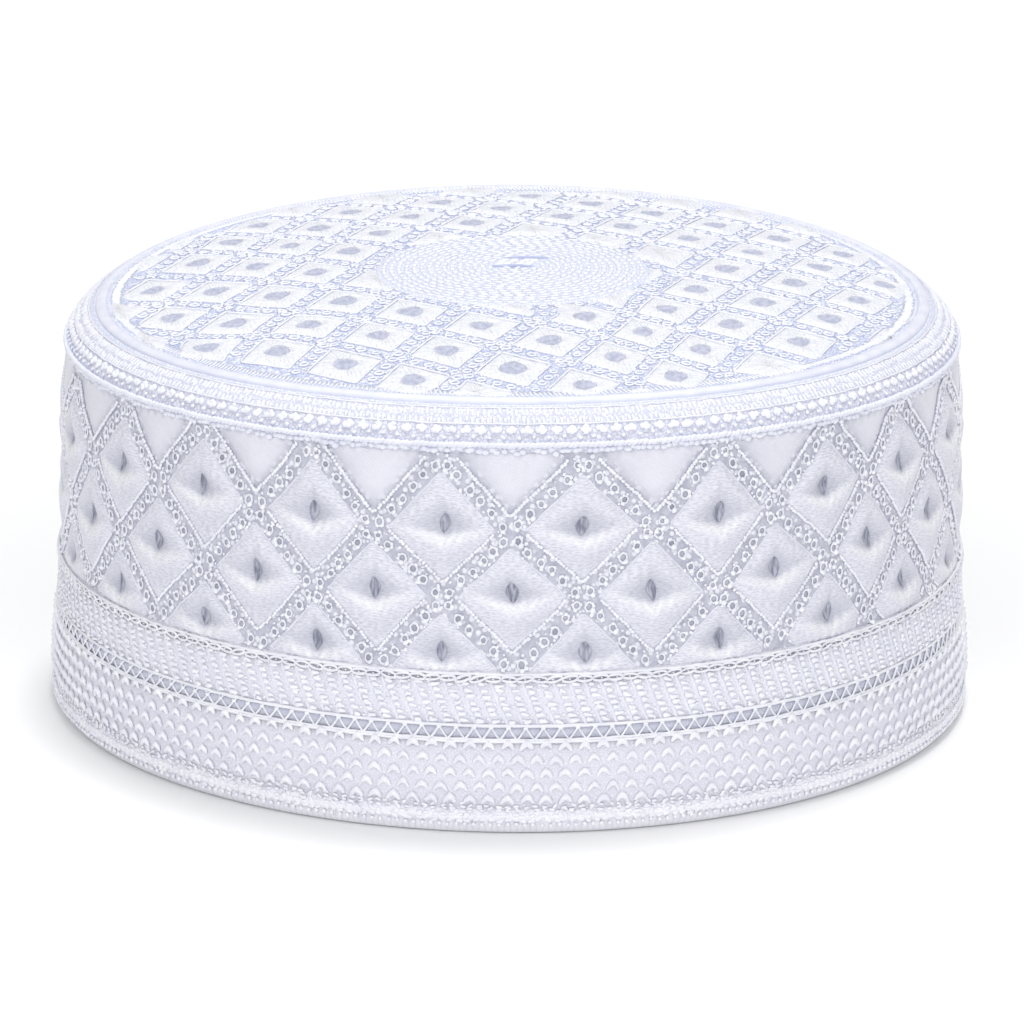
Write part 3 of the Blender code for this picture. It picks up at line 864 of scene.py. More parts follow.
hem = {
    "ribs": 480,
    "ribDepth": 0.32,
    "rollUnevenness": 0.07,
    "dotHeight": 2.1,
    "dotRadius": 0.5,
    "dots": 360,
    "rollRows": (2.95, 3.4, 3.9),
    "rollStitches": 380,
    "rollStitch": (0.85, 0.48, 0.36),
    "looseRows": (4.55, 5.1, 5.7),  # short stitches that tie the roll to the scales
    "looseStitches": 330,
    "looseStitch": (0.72, 0.36, 0.26),
    "stitchTurn": 0.35,
}
hemProfile = [
    (92.0, 0.0), (92.6, 0.0), (93.2, 0.18), (93.75, 0.6), (94.2, 1.3), (94.35, 1.9), (94.2, 2.35),
    (94.17, 2.55), (94.35, 2.8), (94.6, 3.3), (94.55, 3.8), (94.3, 4.2), (94.0, 4.5), (93.9, 5.0),
    (91.0, 5.0), (90.95, 0.6), (91.4, 0.05),
]


def ribbed(points):
    radius = np.hypot(points[:, 0], points[:, 1])
    number = np.rint(np.arctan2(points[:, 0], -points[:, 1]) / fullTurn * 2 * hem["ribs"])
    ribs = softStep((points[:, 2] - 0.05) / 0.5) * softStep((2.45 - points[:, 2]) / 0.4) * (radius > 92.5)
    grooveShade = np.exp(-((points[:, 2] - 2.5) / 0.25) ** 2)
    rolled = (points[:, 2] > 2.7) * (radius > 93.5)
    uneven = rolled * dice.normal(0, hem["rollUnevenness"], len(points))
    moved = radius - hem["ribDepth"] * ribs * (number % 2) + uneven
    points = points.copy()
    points[:, :2] *= (moved / radius)[:, None]
    # the share darkens the rib troughs and the groove under the roll in the thread's colour: painted shade
    return points, 0.75 - 0.6 * ribs * (number % 2) - 0.2 * grooveShade + 0.3 * rolled


turnedPiece("hemRoll", hemProfile, 2 * hem["ribs"], hemThread, "braid", "hem", shaped=ribbed)
rollSpots = np.concatenate(
    [evenSpots(hem["rollStitches"], height, 0.05, hem["rollStitch"], 0.16) for height in hem["rollRows"]]
    + [evenSpots(hem["looseStitches"], height, -0.3, hem["looseStitch"], 0.2) for height in hem["looseRows"]])
rollSpots[:, 3] += dice.normal(0, hem["stitchTurn"], len(rollSpots))
stitchedPiece("hemStitches", onWall, brightThread, "braid",
              copiesOf(bead(5, 4), evenSpots(hem["dots"], hem["dotHeight"], 0.16, [hem["dotRadius"]] * 3)),
              copiesOf(stitch(), rollSpots))
print("hem rolled")

# scale band

scales = {
    "round": 160,
    "rows": (17.1, 14.35, 11.6, 8.85, 6.35),  # height of each row's shoulders
    "rise": 0.12,
    "archHalfWidth": 1.15,
    "archHeight": 1.25,
    "archRadius": 0.56,
    "edgeHeight": 18.5,
    "edgeRadius": 0.32,
    "edgePoints": 440,
    "ground": (4.3, 18.7, -0.42),  # foot, top and lift of the cloth under it
}


def scaleShape():  # pointed scale: a padded shoulder that falls away to the tip below
    shape = bmesh.new()
    bmesh.ops.create_grid(shape, x_segments=4, y_segments=4, size=1.0)
    points, faces = takeShape(shape)
    left, right = points[:, 0], points[:, 1]
    x = (left - right) / 2 * 1.74
    y = (left + right) / 2
    y = np.where(y > 0, y * 1.6, y * 2.3) - 0.25
    inward = 1 - np.maximum(left, right)
    edge = 1 + np.minimum(left, right)
    rise = np.interp(inward, (0, 0.4, 1.0, 2.0), (-0.2, 1.0, 0.8, 0.1))
    rise = rise * np.interp(edge, (0, 0.4, 1), (0.1, 0.8, 1))
    return np.stack([x, y, rise], 1), faces


spots, arches, tips = [], [], []
for index, height in enumerate(scales["rows"]):
    for number in range(scales["round"]):
        arc = (number + (0.5 if index % 2 else 0.0)) * girth / scales["round"] + dice.normal(0, 0.08)
        middle = height + dice.normal(0, 0.08)
        turned, length, width = dice.normal(0, 0.03), dice.uniform(0.95, 1.04), dice.uniform(0.95, 1.05)
        spots.append((arc, middle, -0.55, turned, length, width, scales["rise"] * dice.uniform(0.9, 1.15)))
        steps = np.array((-1.0, -0.55, 0.0, 0.55, 1.0)) + dice.normal(0, 0.05, 5)
        tip = middle + 1.2 + dice.normal(0, 0.06)
        arcs = arc + scales["archHalfWidth"] * steps * dice.uniform(0.88, 1.05)
        heights = tip - scales["archHeight"] * np.abs(steps) ** 1.6 * dice.uniform(0.9, 1.1)
        turned, length, width = dice.normal(0, 0.3), dice.uniform(0.8, 1.2), dice.uniform(0.8, 1.2)
        tips.append((arc, tip - 0.15, -0.02, turned, 0.8 * length, 0.62 * width, 0.42))
        radii = scales["archRadius"] * np.array((0.55, 1.0, 1.35, 1.0, 0.55)) * dice.uniform(0.85, 1.15)
        arches.append((onWall(np.stack([arcs, heights, 0.04 - 0.2 * np.abs(steps)], 1)), radii, False))
stitchedPiece("scaleStitches", onWall, braidThread, "braid", copiesOf(scaleShape(), spots))
threadPiece("scaleArches", arches, brightThread, "braid")
stitchedPiece("scaleTips", onWall, brightThread, "braid", copiesOf(bead(5, 3), tips))
profile = strip(*scales["ground"], rows=5)
turnedPiece("scaleGround", profile, cap["wallSteps"], braidGround, "braid", "scale_band")
edge = threadRound(scales["edgePoints"], scales["edgeHeight"], -0.15, scales["edgeRadius"], 0.04, 0.8, 1.15)
threadPiece("scaleEdges", [edge], brightThread, "braid")
print("scales stitched")

# net insert

net = {
    "periods": 176,
    "low": 18.95,
    "high": 21.55,
    "thread": 0.24,
    "knot": 0.48,
    "lift": -0.32,
    "linePoints": 400,
    "backing": (18.8, 21.7, -0.50),
}
pitch = girth / net["periods"]
paths, knots = [], []
for number in range(net["periods"]):
    middle = number * pitch
    angle = math.degrees(middle / cap["radius"])
    angle -= 360 * (angle > 180)
    crossed = float(softStep((-20 - angle) / 25)) * float(softStep((angle + 100) / 30))  # on the left
    apart = 0.15 + 0.75 * crossed + dice.uniform(0, 0.15)
    for way in (-1, 1):
        foot = middle - way * (pitch / 2 - 0.25)
        head = middle + way * apart
        steps = np.linspace(0, 1, 5)
        flat = np.stack([foot + (head - foot) * steps, net["low"] + (net["high"] - net["low"]) * steps ** 0.9,
                         np.full(5, net["lift"]) + 0.1 * way], 1)
        flat[0, 0] -= way * 0.2
        paths.append((onWall(flat), net["thread"] * dice.uniform(0.85, 1.15), False))
    share = (pitch / 2) / (pitch / 2 + apart)
    knotHeight = net["low"] + (net["high"] - net["low"]) * share ** 0.9 - 0.05
    knots.append((middle, knotHeight, net["lift"] + 0.1, 0.0, *(net["knot"] * np.array((1.2, 0.8, 0.7)))))
for height, lift, radius in ((net["low"] - 0.05, -0.25, 0.28), (net["high"] + 0.1, -0.2, 0.36)):
    paths.append(threadRound(net["linePoints"], height, lift, radius, 0.03, 0.85, 1.15))
threadPiece("netThreads", paths, brightThread, "netting")
stitchedPiece("netKnots", onWall, brightThread, "netting", copiesOf(bead(6, 4), knots))
profile = strip(*net["backing"], rows=2)
turnedPiece("netBacking", profile, cap["wallSteps"], netBackCloth, "netting", "net_insert")
print("net threaded")

# rib braid

ribs = {
    "count": 194,
    "low": 21.9,
    "high": 30.3,
    "lean": 3.3,  # how far a rib runs to the right on its way down
    "radius": 0.42,
    "ribLift": -0.66,
    "ticks": 7,
    "tickLength": 1.05,
    "tickWidth": 0.37,
    "tickHead": 1.7,
    "ground": (21.6, 30.5, -0.36),
}
pitch = girth / ribs["count"]
ribHeight = ribs["high"] - ribs["low"]
paths, ticks = [], []
for number in range(ribs["count"]):
    heights = np.linspace(ribs["high"], ribs["low"], 8)
    arcs = number * pitch + ribs["lean"] * (ribs["high"] - heights) / ribHeight
    flat = np.stack([arcs - 0.55 + dice.normal(0, 0.06, 8), heights, np.full(8, ribs["ribLift"])], 1)
    paths.append((onWall(flat), ribs["radius"] * dice.uniform(0.9, 1.1, 8), False))
    for count in range(ribs["ticks"]):
        down = (count + 0.5 + dice.uniform(-0.2, 0.2)) / ribs["ticks"]
        arc = number * pitch + ribs["lean"] * down
        turned = dice.normal(-0.05, 0.14)
        length = ribs["tickLength"] * dice.uniform(0.75, 1.25)
        width = ribs["tickWidth"] * dice.uniform(0.8, 1.25)
        ticks.append((arc + 0.62, ribs["high"] - down * ribHeight, -0.27, turned, length, width, 0.28))
        aside, below = dice.uniform(-0.4, 2.2), dice.uniform(-0.07, 0.07)  # a small loose tick
        ticks.append((arc + aside, ribs["high"] - (down + below) * ribHeight, -0.3,
                      dice.uniform(-0.8, 0.8), dice.uniform(0.25, 0.5), 0.22, 0.22))
threadPiece("braidRibs", paths, shadedRimThread, "braid", roundness=1)
stitchedPiece("braidTicks", onWall, brightThread, "braid", copiesOf(stitch(5, ribs["tickHead"]), ticks))
profile = strip(*ribs["ground"], rows=4)
turnedPiece("ribGround", profile, cap["wallSteps"], braidGround, "braid", "rib_braid")
print("ribs braided")

# chain trim under the satin band

chain = {
    "loops": 200,
    "height": 30.95,
    "halfLength": 1.5,
    "halfHeight": 0.56,
    "thread": 0.29,
    "lineHeight": 31.85,
    "lineRadius": 0.34,
    "linePoints": 600,
    "ground": (30.3, 32.3, -0.4),
}
pitch = girth / chain["loops"]
paths, shades, dots = [], [], []
for number in range(chain["loops"]):
    middle = number * pitch + dice.normal(0, 0.08)
    turns = np.linspace(0, fullTurn, 11)[:-1]
    tilt = dice.normal(0.06, 0.1)
    x, y = chain["halfLength"] * np.cos(turns), chain["halfHeight"] * dice.uniform(0.85, 1.1) * np.sin(turns)
    flat = np.stack([middle + x, chain["height"] + y + x * tilt, 0.02 + 0.12 * np.cos(turns)], 1)
    paths.append((onWall(flat), chain["thread"] * dice.uniform(0.8, 1.2, 10), True))
    shades.append((middle, chain["height"], -0.25, tilt, 1.15, 0.4, 0.12))
    dots.append((middle + dice.normal(0, 0.3), chain["height"] - 0.05, -0.1, 0.0, 0.26, 0.2, 0.2))
line = threadRound(chain["linePoints"], chain["lineHeight"], -0.05, chain["lineRadius"], 0.05, 0.75, 1.15)
paths.append(line)
threadPiece("chainLoops", paths, brightThread, "thread")
stitchedPiece("chainShades", onWall, shadeCloth, "thread", copiesOf(shadeDot(), shades))
stitchedPiece("chainDots", onWall, brightThread, "thread", copiesOf(bead(5, 4), dots))
profile = strip(*chain["ground"], rows=2)
turnedPiece("chainGround", profile, cap["wallSteps"], braidGround, "thread", "chain_trim")
print("chain looped")

# cord and scallops above the satin band, and the shoulder

shoulder = {
    "cordHeight": 76.75,
    "cordStitches": 600,
    "cordStitch": (1.05, 0.58, 0.62),
    "scallops": 470,
    "scallopHeight": 75.75,
    "scallop": (0.86, 0.62, 0.42),
    "bigNubs": 198,
    "bigNubHeight": 79.55,
    "bigNub": (0.80, 0.60, 0.42),
    "smallNubs": 198,
    "smallNubHeight": 78.2,
    "smallNub": (0.56, 0.42, 0.34),
    "barRows": (82.3, 81.05),
    "bars": 520,
    "bar": (0.66, 0.42, 0.30),
    "lineHeights": (80.55, 83.0),
    "lineRadius": 0.18,
    "linePoints": 420,
    "cordGround": (75.2, 78.4, -0.32),
    "groundHeights": (77.6, 78.6, 79.7, 80.6, 81.5, 82.3, 83.1),
}
cordSpots = evenSpots(shoulder["cordStitches"], shoulder["cordHeight"], 0.0, shoulder["cordStitch"], 0.04,
                      math.radians(22))
stitchedPiece("upperCord", onWall, shadedRimThread, "thread", copiesOf(stitch(6), cordSpots))
profile = strip(*shoulder["cordGround"], rows=4)
turnedPiece("cordGround", profile, cap["rimSteps"], shoulderGround, "thread", "upper_cord")
scallops = evenSpots(shoulder["scallops"], shoulder["scallopHeight"], -0.42, shoulder["scallop"], 0.24)
stitchedPiece("cordScallops", onWall, shadedRimThread, "thread", copiesOf(bead(6, 4), scallops))
shoulderHeights = np.array(shoulder["groundHeights"])
outer = np.stack([np.interp(shoulderHeights, fineHeights, fineRadii) - 0.35, shoulderHeights], 1)
inner = outer[::-1] + (-1.6, -1.0)
profile = [tuple(point) for point in np.r_[outer, inner]]
turnedPiece("shoulderGround", profile, cap["rimSteps"], shoulderGround, "thread", "shoulder_braid")
bigNubs = []
for across, up in ((-0.58, -0.12), (0.05, 0.22), (0.6, -0.08), (0.1, -0.3)):  # each nub is a clump of knots
    lumps = evenSpots(shoulder["bigNubs"], shoulder["bigNubHeight"] + up, -0.22, shoulder["bigNub"], 0.12)
    lumps[:, 0] += across
    bigNubs.append(lumps)
smallNubs = evenSpots(shoulder["smallNubs"], shoulder["smallNubHeight"], -0.2, shoulder["smallNub"], 0.12)
smallNubs[:, 0] += girth / shoulder["bigNubs"] / 2
bars = [evenSpots(shoulder["bars"], height, -0.25, shoulder["bar"], 0.12, math.radians(96))
        for height in shoulder["barRows"]]
nubs = copiesOf(bead(5, 4), np.concatenate(bigNubs + [smallNubs]))
barStitches = [copiesOf(stitch(), row) for row in bars]
stitchedPiece("shoulderNubs", onWall, shoulderThread, "thread", nubs, *barStitches)
paths = [threadRound(shoulder["linePoints"], height, -0.2, shoulder["lineRadius"], 0.04, 0.7, 1.3)
         for height in shoulder["lineHeights"]]
threadPiece("shoulderLines", paths, shoulderThread, "thread")
print("shoulder braided")

# crown cloth: ring-shaped nets of faces round the lattice's cells

crown = {
    "start": (-0.3, -65.4),
    "along": (17.0, 68.75),  # length in mm and heading in degrees
    "across": (15.6, -33.0),
    "nearest": 33.5,
    "farthest": 76.5,
    "inner": 27.6,
    "outer": 82.3,
    "combInner": 79.3,
    "cellShare": 0.69,
    "puff": 0.7,
    "tuft": 0.35,
    "eyeHalfWidth": 2.3,
    "eyeHalfHeight": 3.1,
    "thickness": 0.9,
    "facesPerSide": 8,
    "lift": -0.15,
    "driftReach": 9.0,
    "seenEdgeRise": 0.3,  # the crown's edge is taken this much higher where the cells' places are worked out
    "cellsSeen": (  # number along and across, and the pixel of the cell's eye, read in the photo
        (1, -6, 148.9, 293.6), (0, -5, 169.7, 317.6), (1, -5, 216.1, 290.8), (0, -4, 226.0, 327.1),
        (1, -4, 276.6, 295.6), (-1, -3, 278.3, 349.2), (0, -3, 310.3, 321.8), (-1, -2, 344.6, 363.7),
        (2, -6, 202.8, 261.3), (2, -5, 258.4, 265.7), (2, -4, 315.6, 272.9), (1, -3, 346.0, 300.6),
        (1, -2, 408.8, 312.7), (0, -2, 379.0, 334.2), (-1, -1, 414.6, 379.8), (0, -1, 447.0, 349.5),
        (1, -1, 482.6, 326.8), (0, 0, 508.8, 369.9), (1, 0, 551.4, 340.0), (0, 1, 588.0, 385.0),
        (2, 0, 591.3, 317.5), (1, 1, 618.9, 356.3), (2, 1, 644.6, 331.7), (3, 1, 665.3, 309.7),
        (4, 1, 696.0, 291.9), (1, 2, 673.6, 377.3), (2, 2, 696.8, 350.3), (3, 2, 728.8, 324.8),
        (4, 2, 762.3, 302.4), (5, 2, 796.6, 282.4), (2, 3, 766.5, 366.6), (3, 3, 799.6, 340.5),
        (4, 3, 830.3, 316.8), (5, 3, 858.5, 299.4),
    ),
}
start = np.array(crown["start"])
along, across = (length * np.array([math.cos(math.radians(way)), math.sin(math.radians(way))])
                 for length, way in (crown["along"], crown["across"]))
crownRings = (0.34, 0.42, 0.52, 0.60, 0.68, 0.71, 1.0)
cellsSeen = np.array(crown["cellsSeen"])
driftCentres = start + cellsSeen[:, :1] * along + cellsSeen[:, 1:2] * across


def onSeenCrown(flat):  # as onCrown, with that higher edge
    flat = flat.copy()
    flat[:, 2] = crown["seenEdgeRise"] * (np.hypot(flat[:, 0], flat[:, 1]) / cap["crownEdgeRadius"]) ** 2
    return onCrown(flat)


expected = np.c_[driftCentres, np.zeros(len(cellsSeen))]
crownDrift = seenAt(onSeenCrown, expected, cellsSeen[:, 2:]) - driftCentres


def drifted(places):  # moves points of the crown's plan with the nearest cells
    places = np.atleast_2d(places)
    gaps = ((places[:, None, :] - driftCentres) ** 2).sum(-1)
    weights = np.exp(-gaps / (2 * crown["driftReach"] ** 2))
    moves = weights @ crownDrift / (weights.sum(1) + 0.15)[:, None]
    reach = np.hypot(*places.T)
    fade = softStep((crown["outer"] - reach) / 7) * softStep((reach - crown["inner"]) / 6)
    return places + moves * fade[:, None]


def cellShape(centre, pierced):
    faces, place, share, rising, falling = ringNet(crown["facesPerSide"], crownRings)
    edge = rising[:, None] * along / 2 + falling[:, None] * across / 2
    heading = np.arctan2(edge[:, 1], edge[:, 0])
    size = dice.uniform(0.85, 1.1) if pierced else 0.0
    uneven = 1 + 0.08 * np.cos(3 * heading + dice.uniform(0, 6))
    eye = np.stack([np.cos(heading) * crown["eyeHalfWidth"], np.sin(heading) * crown["eyeHalfHeight"]], 1)
    eye *= (size * squeezed(heading, 1.7) * uneven)[:, None]
    outwards = softStep((share - 0.16) / 0.4)[:, None]
    flat = eye * (1 - outwards) * (1 + 0.5 * share[:, None]) + edge * share[:, None] * outwards
    reach = np.maximum(np.abs(rising), np.abs(falling)) * share / crown["cellShare"]
    lift = crown["puff"] * np.clip(1 - reach ** 5, 0, 1) ** 0.6
    if pierced:
        lift -= crown["tuft"] * np.clip((0.5 - share) / 0.3, 0, 1)
    stitchAlong = place / place.max() * 48.0  # so that stitches run out from the eye
    return np.c_[centre + flat, lift + crown["lift"]], faces, np.c_[stitchAlong, share * 8.0], share


cells = []
for i in range(-10, 11):
    for j in range(-10, 11):
        centre = start + i * along + j * across
        distance = math.hypot(*centre)
        if 20 < distance < 94:
            cells.append((centre, crown["nearest"] < distance < crown["farthest"]))
shapes = [cellShape(centre, pierced) for centre, pierced in cells]
points, faces = joined(*[(shape[0], shape[1]) for shape in shapes])
stitchPlaces = np.concatenate([shape[2] for shape in shapes])
ladderShare = softStep((np.concatenate([shape[3] for shape in shapes]) - 0.69) / 0.015)
distance = np.hypot(points[:, 0], points[:, 1])
ringed = (distance > crown["inner"]) & (distance < crown["outer"])
faces = [face for face in faces if ringed[face].any()]
used = np.unique([corner for face in faces for corner in face])
renumbered = np.full(len(points), -1)
renumbered[used] = np.arange(len(used))
points, stitchPlaces = points[used], stitchPlaces[used]
ladderShare, distance = ladderShare[used], distance[used]
faces = [[int(renumbered[corner]) for corner in face] for face in faces]
clamped = np.clip(distance, crown["inner"], crown["outer"])
points[:, :2] = drifted(points[:, :2] * (clamped / distance)[:, None])
fade = softStep((crown["outer"] - clamped) / 1.4) * softStep((clamped - crown["inner"]) / 1.2)
points[:, 2] = crown["lift"] + (points[:, 2] - crown["lift"]) * fade
mesh = newMesh("crownCloth", onCrown(points), faces, stitchPlaces)
setShare(mesh, "ladder", ladderShare)
whole(mesh)
crownCloth = finishPiece("crownCloth", mesh, crownSatin, "satin", "crown_panel")
thicken(crownCloth, crown["thickness"])
eyeSize = (crown["eyeHalfWidth"] * 1.35, crown["eyeHalfHeight"] * 1.35, 0.16)
eyes = np.array([(*centre, crown["lift"] + 0.14, 0.0, *eyeSize) for centre, pierced in cells if pierced])
eyes[:, :2] = drifted(eyes[:, :2])
stitchedPiece("crownEyes", onCrown, crownEyeCloth, "thread", copiesOf(bead(12, 6), eyes))
print("crown cloth stitched")

# crown ladders

crownLadder = {
    "line": 0.24,
    "lineShare": 0.735,
    "eyeletRadius": 1.12,
    "eyeletsPerSide": 5,
    "knotRadius": 0.34,
    "smallestKnot": 0.7,
    "knotChance": 0.6,
    "knotsAlong": (0.3, 1.6),
    "knotsAside": (1.2, 1.6),
    "rosetteEyelets": 56,
}
paths = []
for centre, pierced in cells:
    outline = []
    turns = ((1, -1), (1, 1), (-1, 1), (-1, -1), (1, -1))
    for (a, b), (c, d) in zip(turns, turns[1:]):
        for step in np.linspace(0.03, 0.97, 12):
            corner = (a + (c - a) * step) * along + (b + (d - b) * step) * across
            outline.append(centre + crownLadder["lineShare"] * corner / 2)
    outline = drifted(outline)
    reach = np.hypot(*outline.T)
    keep = (reach > crown["inner"] + 3.4) & (reach < crown["combInner"] - 0.4)
    runs, run = [], []
    if keep.all():
        runs = [(outline, True)]
    else:
        for index in np.roll(np.arange(len(outline)), -int(np.argmin(keep))):
            if keep[index]:
                run.append(outline[index])
            elif run:
                runs.append((np.array(run), False))
                run = []
        if run:
            runs.append((np.array(run), False))
    for run, closed in runs:
        if len(run) > 2:
            flat = np.c_[run + dice.normal(0, 0.05, run.shape), np.full(len(run), crown["lift"] + 0.15)]
            paths.append((onCrown(flat), crownLadder["line"] * dice.uniform(0.7, 1.3, len(run)), closed))
threadPiece("crownLines", paths, crownThread, "thread")

spots, shades, knots = [], [], []


def crownEyelet(place, heading, size, tall):
    turned = math.atan2(heading[1], heading[0])
    spots.append((*place, crown["lift"] + 0.12, turned, size * tall, size, size * 0.8))
    shades.append((*place, crown["lift"] + 0.03, turned, size * 0.6 * tall, size * 0.6, 0.10))


for i in range(-10, 11):
    for j in range(-10, 11):
        corner = start + (i + 0.5) * along + (j + 0.5) * across
        for run in (along, across):
            heading = run / math.hypot(*run)
            for count in range(crownLadder["eyeletsPerSide"]):
                place = drifted(corner + run * (count + 0.5) / crownLadder["eyeletsPerSide"])[0]
                normal = np.array([-heading[1], heading[0]])
                place = place + heading * dice.uniform(-0.3, 0.3) + normal * dice.uniform(-0.3, 0.3)
                if crown["inner"] + 3.6 < math.hypot(*place) < crown["combInner"] - 1.0:
                    size = crownLadder["eyeletRadius"] * dice.uniform(0.85, 1.12)
                    crownEyelet(place, heading, size, dice.uniform(1.0, 1.25))
                    knots += looseKnots(place, heading, crownLadder, crown["lift"] + 0.1)
for number in range(crownLadder["rosetteEyelets"]):
    angle = number * fullTurn / crownLadder["rosetteEyelets"] + dice.uniform(-0.02, 0.02)
    outwards = np.array([math.cos(angle), math.sin(angle)])
    place = outwards * (crown["inner"] + 2.0 + dice.uniform(-0.2, 0.2))
    crownEyelet(place, outwards, crownLadder["eyeletRadius"] * dice.uniform(0.85, 1.1), 1.0)
    for beyond in (-1.45, 1.35):
        spot = np.array([math.cos(angle + 0.05), math.sin(angle + 0.05)]) * (crown["inner"] + 2.0 + beyond)
        knots.append((*spot, crown["lift"] + 0.1, 0.0, 0.36, 0.36, 0.36))
stitchedPiece("crownEyelets", onCrown, crownThread, "thread", copiesOf(eyelet(0.44), spots))
stitchedPiece("crownShades", onCrown, crownShade, "thread", copiesOf(shadeDot(), shades))
stitchedPiece("crownKnots", onCrown, crownThread, "thread", copiesOf(bead(5, 3), knots))
print("crown ladders stitched with", len(spots), "eyelets and", len(knots), "knots")

# comb and cord at the crown's edge

rim = {
    "combBars": 560,
    "combRadius": 80.75,
    "combBar": (1.2, 0.27, 0.34),
    "combSlant": 16.0,  # degrees
    "cordRadius": 83.55,
    "cordHeight": 83.35,
    "cordThickness": (1.35, 1.0),
    "wraps": 620,
    "wrap": (1.15, 0.34, 0.16),
    "wrapSlant": 10.0,
}


def barsRound(count, radius, bar, slant, lift):
    angles = np.arange(count) * fullTurn / count
    reach = radius + dice.uniform(-0.15, 0.15, count)
    return np.stack([reach * np.cos(angles), reach * np.sin(angles), np.full(count, lift),
                     angles + math.radians(slant) + dice.normal(0, 0.06, count)]
                    + [size * dice.uniform(0.85, 1.15, count) for size in bar], 1)


comb = barsRound(rim["combBars"], rim["combRadius"], rim["combBar"], rim["combSlant"], 0.12)
stitchedPiece("crownComb", onCrown, crownThread, "thread", copiesOf(stitch(), comb))
cordWide, cordHigh = rim["cordThickness"]
profile = [(rim["cordRadius"] + cordWide * math.cos(turn), rim["cordHeight"] + cordHigh * math.sin(turn))
           for turn in np.linspace(0, fullTurn, 15)[:-1]]
turnedPiece("crownCord", profile, cap["rimSteps"], shadedCordThread, "thread")
lift = rim["cordHeight"] + cordHigh - domeHeight(rim["cordRadius"]) - 0.10
wrapSpots = barsRound(rim["wraps"], rim["cordRadius"], rim["wrap"], rim["wrapSlant"], lift)
wraps, faces = copiesOf(stitch(), wrapSpots)
aside = np.clip((np.hypot(wraps[:, 0], wraps[:, 1]) - rim["cordRadius"]) / cordWide, -0.97, 0.97)
wraps[:, 2] -= cordHigh * (1 - np.sqrt(1 - aside ** 2))
stitchedPiece("crownCordWraps", onCrown, shadedCordThread, "thread", (wraps, faces))
profile = [(79.4, domeHeight(79.4) + 0.03), (81.5, domeHeight(81.5) + 0.03), (82.8, 83.5), (84.4, 83.2),
           (86.3, 82.9), (86.3, 82.0), (84.4, 82.2), (82.8, 82.6), (81.5, domeHeight(81.5) - 0.8),
           (79.4, domeHeight(79.4) - 0.8)]
turnedPiece("rimGround", profile, cap["rimSteps"], crownGround, "thread", "crown_cord")
print("crown corded")

# rosette in the middle of the crown

rosette = {
    "radius": 27.2,
    "rings": 17,
    "ringPitch": 1.55,
    "stitchLength": 1.2,
    "stitchWidth": 0.56,
    "stitchRise": 0.30,
    "slitCentre": (1.2, 3.4),
    "slitHalf": (4.6, 3.4),
    "slitLean": 0.45,
    "patchPitch": (2.0, 1.15),
    "patchStitch": (1.15, 0.5, 0.26),
    "groundEdge": 28.5,
    "groundSteps": 120,
}
profile = []
for share in np.linspace(0, 1, 8):
    radius = 0.05 + share * (rosette["radius"] - 0.05)
    profile.append((radius, domeHeight(radius) + 0.10))
profile.append((rosette["groundEdge"], domeHeight(rosette["groundEdge"]) - 0.5))
profile += [(radius, domeHeight(radius) - 1.6) for radius in (rosette["groundEdge"], 14.0, 0.05)]
turnedPiece("rosetteGround", profile, rosette["groundSteps"], crownGround, "thread", "crown_rosette")


def inSlit(x, y):
    slitX, slitY = x - rosette["slitCentre"][0], y - rosette["slitCentre"][1]
    inHeight = abs(slitY) < rosette["slitHalf"][1] + 0.3
    return inHeight and abs(slitX - rosette["slitLean"] * slitY) < rosette["slitHalf"][0] + 0.6


spots = []
for ring in range(rosette["rings"] + 1):
    radius = ring * rosette["ringPitch"]
    count = max(1, round(fullTurn * radius / (2 * rosette["stitchLength"] * 1.04)))
    first = dice.uniform(0, 6)
    for number in range(count):
        angle = first + number * fullTurn / count
        x, y = radius * math.cos(angle), radius * math.sin(angle)
        if inSlit(x, y):
            continue
        turned = angle + math.pi / 2 + dice.normal(0, 0.06)
        length = rosette["stitchLength"] * dice.uniform(0.85, 1.15)
        width = rosette["stitchWidth"] * dice.uniform(0.85, 1.15)
        spots.append((x, y, 0.12, turned, length, width, rosette["stitchRise"] * dice.uniform(0.8, 1.2)))
(slitX, slitY), (halfX, halfY) = rosette["slitCentre"], rosette["slitHalf"]
stitchPitch, rowPitch = rosette["patchPitch"]
for row in np.arange(-halfY + 1.1, halfY - 0.9, rowPitch):  # flat stitches in the slit's patch
    for place in np.arange(-halfX + 1.0, halfX - 0.4, stitchPitch):
        x = slitX + place + rosette["slitLean"] * row + dice.uniform(-0.4, 0.4)
        spots.append((x, slitY + row, 0.10, 0.0, *rosette["patchStitch"]))
stitchedPiece("rosetteStitches", onCrown, crownThread, "thread", copiesOf(stitch(6), spots))
paths = []
steps = np.linspace(-1, 1, 7)
for side in (-1, 1):
    x = slitX + halfX * steps + rosette["slitLean"] * side * halfY
    flat = np.stack([x, slitY + side * halfY + 0.15 * steps, np.full(7, 0.16)], 1)
    paths.append((onCrown(flat), 0.42 * (1 - 0.7 * np.abs(steps) ** 3), False))
threadPiece("rosetteSlit", paths, crownShade, "thread")
print("rosette stitched")

# linings

